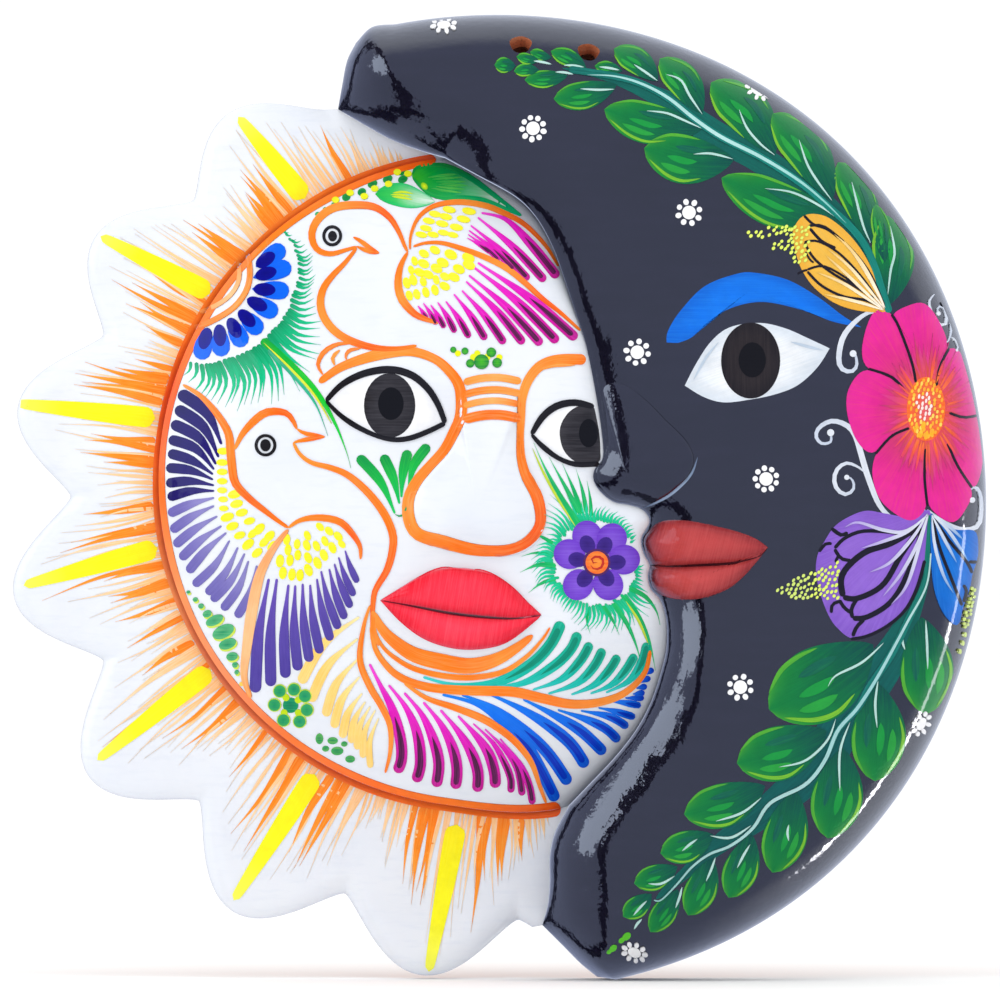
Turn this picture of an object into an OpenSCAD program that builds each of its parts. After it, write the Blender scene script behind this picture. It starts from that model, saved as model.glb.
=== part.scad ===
// Clay eclipse wall plaque: a full sun face and, kissing it, a moon face in three-quarter profile.
// It is put together the way a hand builder lutes it from soft clay: two hollow pressed shells set wall to
// wall along a wavy seam, a scalloped ray flange round the sun, and noses and lips modelled on the shells.
// X runs right and Z up as the plaque hangs. The front faces -Y, and every back rim lies on the plane y = 0.
// The origin is the middle of the outline, on that plane. Units are millimetres.

/* [Clay] */
// Thickness of a shell's pressed wall
wall = 7; // [6:0.5:8]
// Height of the moon's outer edge above the wall plane
moon_edge = 12; // [10:1:14]
// Height of the sun's face where it meets the ray flange
sun_edge = 16; // [14:1:18]
// Height of the ray flange at its outer edge
ray_edge = 7; // [6:1:9]

/* [Moon] */
// Mean radius of the moon's outline
moon_r = 153; // [152.5:0.5:153.5]
// Rise of the moon's front above its edge
moon_rise = 33; // [28:1:38]
// Rise of the moon's nose above the cheek
moon_nose_rise = 7; // [5:0.5:9]
// Rise of the moon's lips
moon_lip_rise = 5; // [3:0.5:6]

/* [Sun] */
// Radius of the sun's face inside the flange
sun_r = 101; // [100.5:0.5:101.5]
// Rise of the sun's dome above its edge
sun_rise = 34; // [28:1:38]
// Rise of the sun's nose at its tip
sun_nose_rise = 10; // [7:0.5:12]
// Rise of the sun's lips
sun_lip_rise = 5; // [3:0.5:6]
// Angle from one ray to the next
ray_pitch = 23.05; // [22.9:0.05:23.2]

/* [Hanging holes] */
// Radius of each hanging hole
hole_r = 3.3; // [2.5:0.1:3.5]
// Distance of the holes' mouths in from the moon's outline
hole_inset = 9.5; // [9:0.5:10]

/* [Hidden] */

black = [0.10, 0.10, 0.13];
white = [0.95, 0.95, 0.94];
red = [0.90, 0.15, 0.20];
brick = [0.62, 0.24, 0.22];

moon_c = [0, -2.5];
sun_c = [-4, 4.5];
hole_angles = [87.1, 78.6];   // round the moon's centre, from +X
hole_length = 24;             // of the drill, long enough to leave the wall on both sides

// The seam where the sun meets the moon, from the upper horn to the lower one. The first length borders the
// flange, the middle one is the kissing profile, and the last borders the flange again.
seam_top = [[-49.5, 120], [-42, 115.5], [-33, 110.5], [-24, 107], [-16.3, 104.7]];
seam_face = [[-16.3, 104.7], [-6, 99], [5.5, 92.5], [12, 86], [17, 77], [20.5, 67.5], [24, 57], [27, 48],
    [29, 39], [31, 28], [32.5, 17], [32.5, 11.5], [30, 8], [29.8, 4.5], [32, 1], [36, -2], [41, -3],
    [45, -4.5], [47, -8], [44.5, -13], [45, -17.5], [47, -21.5], [46.5, -25], [47.5, -29], [50.5, -32.5],
    [52.2, -38.5], [52.3, -47], [50.5, -55], [47.5, -64], [43, -72.5], [36.5, -81], [29, -89], [22.4, -96]];
seam_low = [[22.4, -96], [17.9, -104.5], [16.3, -112], [16.3, -120], [15.7, -127], [14, -133.5]];

// The walls of the moon's two horns, from the seam out to the round outline.
horn_top = [[-49.5, 120], [-48.3, 127], [-46.7, 135], [-44, 140.5]];
horn_low = [[14, -133.5], [20, -139.5], [26, -145.5], [31, -149.5]];
shoulder_top = [[-44, 140.5], [-39, 145.5]];

// Outlines of what is modelled on the shells.
moon_nose_line = [[32.6, 33], [33.6, 23.5], [34.2, 15.7], [32.6, 11.3], [30.9, 8], [30.8, 4.6], [32.8, 1.7],
    [36.4, -1.2], [41.2, -2.2], [46.3, -3.4], [50.5, -1.6], [55, 2], [59.1, 6.4], [60.6, 11.6], [58.1, 17.2],
    [51.9, 23.4], [45.7, 29.6], [38.5, 34.5]];
moon_mouth_line = [[47.4, -21.6], [53.5, -21.9], [62.8, -21.5], [72, -20.9], [80.5, -18.8], [83.5, -16]];
moon_upper_line = [[83.5, -16], [79.5, -13.2], [73.6, -11], [65.9, -9.1], [59.7, -7.9], [53, -7.6],
    [48.8, -9], [45.4, -13.3], [45.8, -17.5], [47.4, -21.6]];
moon_lower_line = [[47.4, -21.6], [47.1, -25], [48.2, -28.6], [51.4, -31], [56.6, -32.1], [63, -31.8],
    [70.5, -29.2], [75.5, -25.5], [80, -20.5], [83.5, -16]];
sun_nose_line = [[-11, 31], [-12.3, 20.5], [-17.5, 11.5], [-25.5, 2], [-27.8, -6], [-24.7, -13.5],
    [-14.7, -16.9], [-2.3, -18.6], [7, -17.9], [13, -13.5], [14.8, -6], [12.7, 2], [8, 11.5], [6, 21.5],
    [5.7, 31], [-2.5, 32]];
sun_mouth_line = [[-36.2, -32.4], [-24, -34.4], [-14.5, -36.2], [-4, -37.4], [5.5, -37.9], [13.6, -36.7]];
sun_upper_line = [[13.6, -36.7], [9, -32.5], [5, -28.5], [-1, -24.4], [-8.5, -22.5], [-16.3, -22.4],
    [-22.5, -24.2], [-30.2, -28.6], [-36.2, -32.4]];
sun_lower_line = [[-36.2, -32.4], [-30.2, -38.6], [-22.5, -44.2], [-13.2, -47.2], [-4, -47.2], [4, -44.6],
    [13.6, -36.7]];

// ---- curves ----

function lerp(a, b, t) = a + (b - a) * t;
function smooth(t) = let (u = min(1, max(0, t))) u * u * (3 - 2 * u);
function polar(c, r, a) = c + r * [cos(a), sin(a)];

// A point on the Catmull-Rom span from b to c.
function span(a, b, c, d, t) =
    0.5 * (2 * b + (c - a) * t + (2 * a - 5 * b + 4 * c - d) * t * t + (3 * b - a - 3 * c + d) * t * t * t);

// A smooth open line through pts, with steps pieces to each span.
function spline(pts, steps = 6) = let (n = len(pts)) [
    for (i = [0:n - 2], k = [0:steps - 1])
        span(pts[max(0, i - 1)], pts[i], pts[i + 1], pts[min(n - 1, i + 2)], k / steps),
    pts[n - 1]];

// A line ready to be read at any share of its length.
function running(pts) = [for (i = 0, s = 0; i < len(pts);
    s = s + (i + 1 < len(pts) ? norm(pts[i + 1] - pts[i]) : 0), i = i + 1) s];
function curve(pts) = let (s = running(pts), total = s[len(s) - 1])
    [[for (i = [0:len(pts) - 1]) [s[i] / total, pts[i].x]], [for (i = [0:len(pts) - 1]) [s[i] / total, pts[i].y]],
    total];
function at(line, u) = [lookup(u, line[0]), lookup(u, line[1])];

// Shares from 0 to 1: even, or crowded towards both ends, where the clay rolls over.
function even(n) = [for (i = [0:n]) i / n];
function crowded(n) = [for (i = [0:n]) (1 - cos(180 * i / n)) / 2];
function sample(pts, shares) = let (line = curve(pts)) [for (u = shares) at(line, u)];

function to_line(p, a, b) = let (ab = b - a, t = max(0, min(1, ((p - a) * ab) / (ab * ab)))) norm(p - a - t * ab);
function distance(p, pts) = min([for (i = [0:len(pts) - 2]) to_line(p, pts[i], pts[i + 1])]);

// A grid of points over the patch between lines a and b, whose sides are c and d. Lines a and b have one
// count of points, c and d another, and across holds the shares at which c and d were read.
function patch(a, b, c, d, across) = let (n = len(a) - 1, m = len(c) - 1) [
    for (i = [0:n]) [for (j = [0:m]) let (s = i / n, t = across[j])
        lerp(a[i], b[i], t) + lerp(c[j], d[j], s) - lerp(lerp(a[0], a[n], s), lerp(b[0], b[n], s), t)]];

// A grid of rings from a centre out to a closed line. The first ring shrinks to the centre.
function rings(c, line, shares) = [for (u = shares) [for (p = line) lerp(c, p, u)]];
function ring_shares(m) = [for (j = [0:m]) sin(90 * (0.12 + 0.88 * j / m))];

// ---- outlines ----

along_flange = 7;     // cells of the seam beside each end of the flange
along_face = 56;      // cells of the seam beside the sun's face
along_round = 78;     // cells of the sun's round edge
across_moon = crowded(12);

seam_a = sample(spline(seam_top), even(along_flange));
seam_b = sample(spline(seam_face), even(along_face));
seam_c = sample(spline(seam_low), even(along_flange));
seam = concat(seam_a, [for (i = [1:along_face]) seam_b[i]], [for (i = [1:along_flange]) seam_c[i]]);

function moon_radius(a) = moon_r - 1.2 * cos(4 * a);
moon_outer = sample(concat(spline(concat(shoulder_top, [polar(moon_c, moon_radius(102), 102)]), 4),
    [for (a = [101:-1:-76]) polar(moon_c, moon_radius(a), a)], [horn_low[3]]), even(len(seam) - 1));
moon_top = sample(spline(horn_top), across_moon);
moon_low = sample(spline(horn_low), across_moon);
moon_rim = concat(moon_top, moon_outer, [for (i = [12:-1:0]) moon_low[i]]);

// The sun's round edge runs from the upper end of the face's seam, round the left, to the lower end.
round_start = 97;
round_end = 284.7;
function face_radius(a) = sun_r + 3.2 * smooth((a - 262) / 22);
round_edge = concat([seam_b[0]],
    [for (u = [for (i = [1:along_round - 1]) i / along_round]) let (a = lerp(round_start, round_end, u))
        polar(sun_c, face_radius(a), a)],
    [seam_b[along_face]]);

// Outer edge of the rays: between a circle through their valleys and one through their tips.
ray_start = 113;
ray_end = 276.5;
function reach(c, r, a) = let (d = [cos(a), sin(a)], o = sun_c - c) -o * d + sqrt(pow(o * d, 2) - o * o + r * r);
function ray_radius(a) = lerp(reach([-1.2, -0.7], 131.4, a), reach([-7.6, -4.8], 145.2, a),
    pow(abs(sin(180 * (a - ray_start) / ray_pitch)), 1.3));
ray_line = concat([seam_a[0]],
    [for (i = [1:along_round - 1]) let (a = lerp(ray_start, ray_end, i / along_round))
        polar(sun_c, ray_radius(a), a)],
    [seam_c[along_flange]]);

// ---- relief: heights above the wall plane ----

// A quarter round that rises from 0 to 1 in the distance w.
function roll(x, w) = sqrt(1 - pow(1 - min(x, w) / w, 2));
function mound(p, c, size, h) = h * exp(-pow((p.x - c.x) / size.x, 2) - pow((p.y - c.y) / size.y, 2));

function moon_height(p) = let (
    rim = distance(p, moon_rim),
    side = distance(p, seam),
    out = norm(p - sun_c),
    beside_face = lerp(0.50, 0.84, smooth((p.y + 14) / 24)),
    low = lerp(beside_face, 0.12, smooth((out - 92) / 20)))
    moon_edge + moon_rise * (0.5 * roll(rim, 14) + 0.5 * roll(rim, 60)) * lerp(low, 1, roll(side, 20))
    + mound(p, [78, 48], [30, 9], 3) + mound(p, [76, 30], [22, 11], 2.5) + mound(p, [62, -50], [14, 14], 4);

function sun_height(p) = let (
    out = min(0.999, norm(p - sun_c) / (sun_r + 4)),
    side = distance(p, seam_b))
    sun_edge + sun_rise * pow(1 - out * out, 0.7) - 4 * (1 - roll(side, 9))
    + mound(p, [-31, 36], [24, 7], 3) + mound(p, [-34, 26], [14, 8], 2) + mound(p, [26, -40], [20, 22], 4)
    + mound(p, [-6, -70], [22, 14], 4) + mound(p, [-54, -18], [24, 24], 3);

function ray_height(p) = let (
    a = atan2(p.y - sun_c.y, p.x - sun_c.x), angle = a < 0 ? a + 360 : a,
    from_face = norm(p - sun_c) - sun_r,
    to_edge = max(0, ray_radius(angle) - norm(p - sun_c)))
    ray_edge + 4 * roll(to_edge, 10) + (sun_edge - ray_edge - 4) * (1 - smooth(from_face / 34));

// ---- solids ----

function front(p, h) = [p.x, -h, p.y];
function flat(rows) = [for (row = rows) each row];
function flip(tris, turned) = turned ? [for (t = tris) [t[2], t[1], t[0]]] : tris;

// Triangles between two loops of one count.
function band(a, b) = let (n = len(a)) [for (i = [0:n - 1]) let (j = (i + 1) % n)
    each [[a[i], a[j], b[j]], [a[i], b[j], b[i]]]];
function loop_from(first, n) = [for (i = [0:n - 1]) first + i];

// A grid of n by m cells: its triangles, and its corners once round the edge.
function cells(n, m, first, turned) = flip([for (i = [0:n - 1], j = [0:m - 1]) let (k = first + i * (m + 1) + j)
    each [[k, k + m + 2, k + m + 1], [k, k + 1, k + m + 2]]], turned);
function edge_loop(n, m) = concat([for (i = [0:n - 1]) i * (m + 1)], [for (j = [0:m - 1]) n * (m + 1) + j],
    [for (i = [n:-1:1]) i * (m + 1) + m], [for (j = [m:-1:1]) j]);

// A disc of m + 1 rings with n points each: its triangles, with the first ring closed by a fan.
function disc_cells(n, m, first, turned) = flip(concat(
    [for (i = [1:n - 2]) [first, first + i + 1, first + i]],
    [for (j = [0:m - 1]) each band(loop_from(first + j * n, n), loop_from(first + (j + 1) * n, n))]),
    turned);

// A solid slab between two reliefs over a patch.
module patch_slab(rows, front_h, back_h) {
    n = len(rows) - 1;
    m = len(rows[0]) - 1;
    count = (n + 1) * (m + 1);
    loop = edge_loop(n, m);
    points = concat([for (p = flat(rows)) front(p, front_h(p))], [for (p = flat(rows)) front(p, back_h(p))]);
    polyhedron(points, concat(cells(n, m, 0, false), cells(n, m, count, true),
        band(loop, [for (k = loop) k + count])));
}

// A hollow shell over a patch, open at the back: relief, side wall, flat rim, cavity wall, cavity roof.
module patch_shell(rows, hollow, height) {
    n = len(rows) - 1;
    m = len(rows[0]) - 1;
    count = (n + 1) * (m + 1);
    loop = edge_loop(n, m);
    outer = flat(rows);
    inner = flat(hollow);
    points = concat([for (p = outer) front(p, height(p))], [for (p = inner) front(p, height(p) - wall)],
        [for (k = loop) front(outer[k], 0)], [for (k = loop) front(inner[k], 0)]);
    outer_rim = loop_from(2 * count, len(loop));
    inner_rim = loop_from(2 * count + len(loop), len(loop));
    polyhedron(points, concat(cells(n, m, 0, false), band(loop, outer_rim), band(outer_rim, inner_rim),
        band(inner_rim, [for (k = loop) k + count]), cells(n, m, count, true)));
}

// The same over a disc, for the sun's face.
module disc_shell(c, line, hollow_line, shares, height) {
    n = len(line);
    m = len(shares) - 1;
    count = n * (m + 1);
    outer = flat(rings(c, line, shares));
    inner = flat(rings(c, hollow_line, shares));
    points = concat([for (p = outer) front(p, height(p))], [for (p = inner) front(p, height(p) - wall)],
        [for (p = line) front(p, 0)], [for (p = hollow_line) front(p, 0)]);
    outer_rim = loop_from(2 * count, n);
    inner_rim = loop_from(2 * count + n, n);
    polyhedron(points, concat(disc_cells(n, m, 0, false), band(loop_from(m * n, n), outer_rim),
        band(outer_rim, inner_rim), band(inner_rim, loop_from(count + m * n, n)), disc_cells(n, m, count, true)));
}

// A solid slab between two reliefs over a disc.
module disc_slab(c, line, shares, front_h, back_h) {
    n = len(line);
    m = len(shares) - 1;
    count = n * (m + 1);
    grid = flat(rings(c, line, shares));
    points = concat([for (p = grid) front(p, front_h(p))], [for (p = grid) front(p, back_h(p))]);
    polyhedron(points, concat(disc_cells(n, m, 0, false), band(loop_from(m * n, n), loop_from(count + m * n, n)),
        disc_cells(n, m, count, true)));
}

// ---- the two shells and the flange ----

moon_grid = patch(seam, moon_outer, moon_top, moon_low, across_moon);

// The moon's cavity follows its walls, drawn in by the wall's thickness on all four sides.
moon_hollow = let (a = curve(seam), b = curve(moon_outer), c = curve(moon_top), d = curve(moon_low),
    n = len(seam) - 1, end = wall / min(a[2], b[2])) [
    for (i = [0:n]) let (s = lerp(end, 1 - end, i / n), share = wall / norm(at(a, s) - at(b, s)))
        [for (u = across_moon) let (t = lerp(share, 1 - share, u))
            lerp(at(a, s), at(b, s), t) + lerp(at(c, t), at(d, t), s)
            - lerp(lerp(seam[0], seam[n], s), lerp(moon_outer[0], moon_outer[n], s), t)]];

face_line = concat([for (i = [0:along_round - 1]) round_edge[i]], [for (i = [along_face:-1:1]) seam_b[i]]);
face_hollow = [for (p = face_line) p + wall * (sun_c - p) / norm(sun_c - p)];

// Places a drill on the moon's shoulder, square to the clay there, with +Z leaving the hole.
module at_hole(a) {
    mouth = polar(moon_c, moon_radius(a) - hole_inset, a);
    step = 0.5;
    fall = (moon_height(polar(mouth, -step, a)) - moon_height(polar(mouth, step, a))) / (2 * step);
    out = [fall * cos(a), -1, fall * sin(a)];
    translate(front(mouth, moon_height(mouth)))
        rotate([0, acos(out.z / norm(out)), atan2(out.y, out.x)])
            children();
}

module moon_shell() color(black) difference() {
    patch_shell(moon_grid, moon_hollow, function (p) moon_height(p));
    for (a = hole_angles) at_hole(a) cylinder(r = hole_r, h = hole_length, center = true, $fn = 48);
}

module sun_face_shell() color(white)
    disc_shell(sun_c, face_line, face_hollow, ring_shares(8), function (p) sun_height(p));

module sun_ray_flange() color(white)
    patch_slab(patch(ray_line, round_edge, seam_a, [for (i = [along_flange:-1:0]) seam_c[i]],
        even(along_flange)), function (p) ray_height(p), function (p) 0);

// ---- noses and lips: each is seated on the clay below it, facet for facet ----

// The clay of a shell under a feature, as a solid block.
module moon_block(first, last, depth) patch_slab([for (i = [first:last]) [for (j = [0:depth]) moon_grid[i][j]]],
    function (p) moon_height(p), function (p) 0);
module sun_block() disc_slab(sun_c, face_line, ring_shares(8), function (p) sun_height(p), function (p) 0);

// A modelled feature: c is its highest point, and it rolls down to the clay at its outline.
module feature(c, outline, height, rise, edge, fall)
    disc_slab(c, outline, ring_shares(6),
        function (p) height(p) + 0.4 + rise * roll(distance(p, concat(outline, [outline[0]])), edge)
            * exp(-pow(norm(p - c) / fall, 2)),
        function (p) height(p) - 3);

function closed(pts, steps) = let (line = spline(concat(pts, [pts[0]]), steps)) [for (i = [0:len(line) - 2]) line[i]];
function open_end(pts) = [for (i = [0:len(pts) - 2]) pts[i]];
function lip(mouth, outer) = concat(open_end(spline(mouth, 3)), open_end(spline(outer, 3)));

module moon_nose() color(black) difference() {
    feature([40, 6], closed(moon_nose_line, 3), function (p) moon_height(p), moon_nose_rise, 9, 26);
    moon_block(22, 56, 9);
}

module moon_upper_lip() color(brick) difference() {
    feature([58, -14.5], lip(moon_mouth_line, moon_upper_line), function (p) moon_height(p), moon_lip_rise, 6, 30);
    moon_block(30, 60, 10);
}

module moon_lower_lip() color(brick) difference() {
    feature([58, -26], lip([for (i = [5:-1:0]) moon_mouth_line[i]], moon_lower_line),
        function (p) moon_height(p), moon_lip_rise, 6, 30);
    moon_block(30, 60, 10);
}

module sun_nose() color(white) difference() {
    feature([-6, -5], closed(sun_nose_line, 3), function (p) sun_height(p), sun_nose_rise, 11, 34);
    sun_block();
}

module sun_upper_lip() color(red) difference() {
    feature([-11, -29.5], lip(sun_mouth_line, sun_upper_line), function (p) sun_height(p), sun_lip_rise, 7, 30);
    sun_block();
}

module sun_lower_lip() color(red) difference() {
    feature([-9, -41.5], lip([for (i = [5:-1:0]) sun_mouth_line[i]], sun_lower_line),
        function (p) sun_height(p), sun_lip_rise, 6, 30);
    sun_block();
}

moon_shell();
moon_nose();
moon_upper_lip();
moon_lower_lip();
sun_face_shell();
sun_nose();
sun_upper_lip();
sun_lower_lip();
sun_ray_flange();
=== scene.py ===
"""Clay eclipse wall plaque: the pressed clay reliefs, their lacquered painting, and a soft studio.

Lengths are millimetres in the painting's own plane until a mesh is made: X right, Z up, height towards -Y.
"""
import math

import bmesh
import bpy
import numpy as np
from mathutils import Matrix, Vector
from mathutils.bvhtree import BVHTree


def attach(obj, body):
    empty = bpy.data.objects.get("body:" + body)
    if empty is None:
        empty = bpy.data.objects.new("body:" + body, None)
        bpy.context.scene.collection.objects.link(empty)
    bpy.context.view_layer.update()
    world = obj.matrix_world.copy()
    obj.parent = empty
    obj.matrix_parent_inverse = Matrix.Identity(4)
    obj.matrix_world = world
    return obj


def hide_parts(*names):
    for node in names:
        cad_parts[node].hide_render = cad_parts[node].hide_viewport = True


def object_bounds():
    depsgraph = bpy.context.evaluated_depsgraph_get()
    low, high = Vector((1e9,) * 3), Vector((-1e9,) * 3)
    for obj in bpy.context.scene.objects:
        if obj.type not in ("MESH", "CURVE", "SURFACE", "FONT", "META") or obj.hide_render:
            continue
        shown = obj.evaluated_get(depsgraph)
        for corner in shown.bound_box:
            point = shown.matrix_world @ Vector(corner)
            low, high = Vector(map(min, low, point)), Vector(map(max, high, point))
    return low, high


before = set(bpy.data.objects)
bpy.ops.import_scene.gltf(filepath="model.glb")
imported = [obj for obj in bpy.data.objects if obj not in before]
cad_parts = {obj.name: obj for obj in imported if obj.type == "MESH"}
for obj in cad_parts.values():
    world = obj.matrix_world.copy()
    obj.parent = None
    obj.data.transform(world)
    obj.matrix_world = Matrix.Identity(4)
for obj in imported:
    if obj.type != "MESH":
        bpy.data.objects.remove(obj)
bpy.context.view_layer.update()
MM = 0.001
rng = np.random.default_rng(7)

# ---------------------------------------------------------------- camera

distance_m = 5.0
view_width = 0.310           # what the view takes in across the middle of the relief
middle = (0.0008, -0.022, -0.0014)
camera_data = bpy.data.cameras.new("camera")
camera_data.sensor_width = 36.0
camera_data.lens = 36.0 * (distance_m + middle[1]) / view_width
camera_data.clip_end = 50.0
camera = bpy.data.objects.new("camera", camera_data)
camera.location = (middle[0], -distance_m, middle[2])
camera.rotation_euler = (math.radians(90), 0, 0)
bpy.context.scene.collection.objects.link(camera)
bpy.context.scene.camera = camera

# ---------------------------------------------------------------- outlines, as in the CAD model

WALL = 7.0
MOON_C = np.array([0.0, -2.5])
SUN_C = np.array([-4.0, 4.5])
SUN_R = 101.0
SEAM_TOP = [(-49.5, 120), (-42, 115.5), (-33, 110.5), (-24, 107), (-16.3, 104.7)]
SEAM_FACE = [(-16.3, 104.7), (-6, 99), (5.5, 92.5), (12, 86), (17, 77), (20.5, 67.5), (24, 57), (27, 48),
    (29, 39), (31, 28), (32.5, 17), (32.5, 11.5), (30, 8), (29.8, 4.5), (32, 1), (36, -2), (41, -3),
    (45, -4.5), (47, -8), (44.5, -13), (45, -17.5), (47, -21.5), (46.5, -25), (47.5, -29), (50.5, -32.5),
    (52.2, -38.5), (52.3, -47), (50.5, -55), (47.5, -64), (43, -72.5), (36.5, -81), (29, -89),
    (22.4, -96)]
SEAM_LOW = [(22.4, -96), (17.9, -104.5), (16.3, -112), (16.3, -120), (15.7, -127), (14, -133.5)]
HORN_TOP = [(-49.5, 120), (-48.3, 127), (-46.7, 135), (-44, 140.5)]
HORN_LOW = [(14, -133.5), (20, -139.5), (26, -145.5), (31, -149.5)]
SHOULDER = [(-44, 140.5), (-39, 145.5)]
MOON_NOSE = [(32.6, 33), (33.6, 23.5), (34.2, 15.7), (32.6, 11.3), (30.9, 8), (30.8, 4.6), (32.8, 1.7),
    (36.4, -1.2), (41.2, -2.2), (46.3, -3.4), (50.5, -1.6), (55, 2), (59.1, 6.4), (60.6, 11.6),
    (58.1, 17.2), (51.9, 23.4), (45.7, 29.6), (38.5, 34.5)]
MOON_MOUTH = [(47.4, -21.6), (53.5, -21.9), (62.8, -21.5), (72, -20.9), (80.5, -18.8), (83.5, -16)]
MOON_UPPER = [(83.5, -16), (79.5, -13.2), (73.6, -11), (65.9, -9.1), (59.7, -7.9), (53, -7.6),
    (48.8, -9), (45.4, -13.3), (45.8, -17.5), (47.4, -21.6)]
MOON_LOWER = [(47.4, -21.6), (47.1, -25), (48.2, -28.6), (51.4, -31), (56.6, -32.1), (63, -31.8),
    (70.5, -29.2), (75.5, -25.5), (80, -20.5), (83.5, -16)]
SUN_NOSE = [(-11, 31), (-12.3, 20.5), (-17.5, 11.5), (-25.5, 2), (-27.8, -6), (-24.7, -13.5),
    (-14.7, -16.9), (-2.3, -18.6), (7, -17.9), (13, -13.5), (14.8, -6), (12.7, 2), (8, 11.5), (6, 21.5),
    (5.7, 31), (-2.5, 32)]
SUN_MOUTH = [(-36.2, -32.4), (-24, -34.4), (-14.5, -36.2), (-4, -37.4), (5.5, -37.9), (13.6, -36.7)]
SUN_UPPER = [(13.6, -36.7), (9, -32.5), (5, -28.5), (-1, -24.4), (-8.5, -22.5), (-16.3, -22.4),
    (-22.5, -24.2), (-30.2, -28.6), (-36.2, -32.4)]
SUN_LOWER = [(-36.2, -32.4), (-30.2, -38.6), (-22.5, -44.2), (-13.2, -47.2), (-4, -47.2), (4, -44.6),
    (13.6, -36.7)]


def lerp(a, b, t):
    return a + (b - a) * t


def smooth(t):
    u = np.clip(t, 0, 1)
    return u * u * (3 - 2 * u)


def aim(degrees):
    """Unit vector at a bearing, anticlockwise from +X."""
    return np.array([math.cos(math.radians(degrees)), math.sin(math.radians(degrees))])


def bearing(v):
    return math.degrees(math.atan2(v[1], v[0]))


def crosswise(v):
    """v turned a quarter to its left."""
    return np.array([-v[1], v[0]])


def polar(c, r, degrees):
    return c + r * aim(degrees)


def spline(pts, steps=8, closed=False):
    """Catmull-Rom line through pts."""
    p = np.asarray(pts, float)
    if len(p) == 2 and not closed:
        return np.array([lerp(p[0], p[1], t) for t in np.linspace(0, 1, steps + 1)])
    q = np.vstack([p[-1:], p, p[:2]]) if closed else np.vstack([p[:1], p, p[-1:]])
    t = np.linspace(0, 1, steps, endpoint=False)[:, None]
    spans = len(p) if closed else len(p) - 1
    out = [0.5 * (2 * q[k + 1] + (q[k + 2] - q[k]) * t
        + (2 * q[k] - 5 * q[k + 1] + 4 * q[k + 2] - q[k + 3]) * t * t
        + (3 * q[k + 1] - q[k] - 3 * q[k + 2] + q[k + 3]) * t ** 3) for k in range(spans)]
    return np.vstack(out if closed else out + [p[-1:]])


def sample(line, shares):
    """Points of a line at the given shares of its length."""
    steps = np.hypot(*np.diff(line, axis=0).T)
    s = np.concatenate([[0], np.cumsum(steps)])
    u = np.asarray(shares, float) * s[-1]
    return np.column_stack([np.interp(u, s, line[:, 0]), np.interp(u, s, line[:, 1])])


def length(line):
    return float(np.hypot(*np.diff(line, axis=0).T).sum())


def even(n):
    return np.linspace(0, 1, n + 1)


def crowded(n):
    return (1 - np.cos(np.pi * even(n))) / 2


def to_line(p, line):
    """Distance from each point of p to a polyline."""
    p = np.asarray(p, float).reshape(-1, 2)
    a, b = line[:-1], line[1:]
    ab = b - a
    keep = (ab ** 2).sum(1) > 1e-12
    a, ab = a[keep], ab[keep]
    out = np.empty(len(p))
    for k in range(0, len(p), 4000):
        ap = p[k:k + 4000, None, :] - a
        t = np.clip((ap * ab).sum(2) / (ab ** 2).sum(1), 0, 1)
        out[k:k + 4000] = np.sqrt(((ap - t[..., None] * ab) ** 2).sum(2)).min(1)
    return out


ALONG, ACROSS = 420, 76
FACE_SHARE = 336                   # cells of the seam beside the face, out of ALONG
END_SHARE = (ALONG - FACE_SHARE) // 2

seam_a = sample(spline(SEAM_TOP, 12), even(END_SHARE))
seam_b = sample(spline(SEAM_FACE, 12), even(FACE_SHARE))
seam_c = sample(spline(SEAM_LOW, 12), even(END_SHARE))
seam = np.vstack([seam_a, seam_b[1:], seam_c[1:]])


def moon_radius(a):
    return 153 - 1.2 * math.cos(math.radians(4 * a))


moon_outer = sample(np.vstack([spline(SHOULDER + [tuple(polar(MOON_C, moon_radius(102), 102))], 8)]
    + [polar(MOON_C, moon_radius(a), a)[None] for a in np.arange(101.5, -76.1, -0.5)]
    + [np.array([HORN_LOW[-1]], float)]), even(ALONG))
moon_top = sample(spline(HORN_TOP, 10), crowded(ACROSS))
moon_low = sample(spline(HORN_LOW, 10), crowded(ACROSS))
moon_rim = np.vstack([moon_top, moon_outer, moon_low[::-1]])

ROUND = 420


def face_radius(a):
    return SUN_R + 3.2 * smooth((a - 262) / 22)


round_edge = np.vstack([seam_b[:1]]
    + [polar(SUN_C, face_radius(a), a)[None] for a in lerp(97, 284.7, even(ROUND)[1:-1])] + [seam_b[-1:]])
face_line = np.vstack([round_edge[:-1], seam_b[:0:-1]])


def reach(c, r, a):
    """How far from the sun's centre, at bearing a, a circle of radius r round c lies."""
    d = aim(a)
    o = SUN_C - np.array(c)
    return -o @ d + math.sqrt((o @ d) ** 2 - o @ o + r * r)


def ray_radius(a):
    share = abs(math.sin(math.radians(180 * (a - 113) / 23.05))) ** 1.3
    return lerp(reach((-1.2, -0.7), 131.4, a), reach((-7.6, -4.8), 145.2, a), share)


ray_line = np.vstack([seam_a[:1]]
    + [polar(SUN_C, ray_radius(a), a)[None] for a in lerp(113, 276.5, even(ROUND)[1:-1])] + [seam_c[-1:]])

# ---------------------------------------------------------------- relief: heights above the wall plane


def roll(x, w):
    return np.sqrt(np.clip(1 - (1 - np.minimum(x, w) / w) ** 2, 0, 1))


def mound(p, c, size, h):
    return h * np.exp(-((p[:, 0] - c[0]) / size[0]) ** 2 - ((p[:, 1] - c[1]) / size[1]) ** 2)


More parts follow.
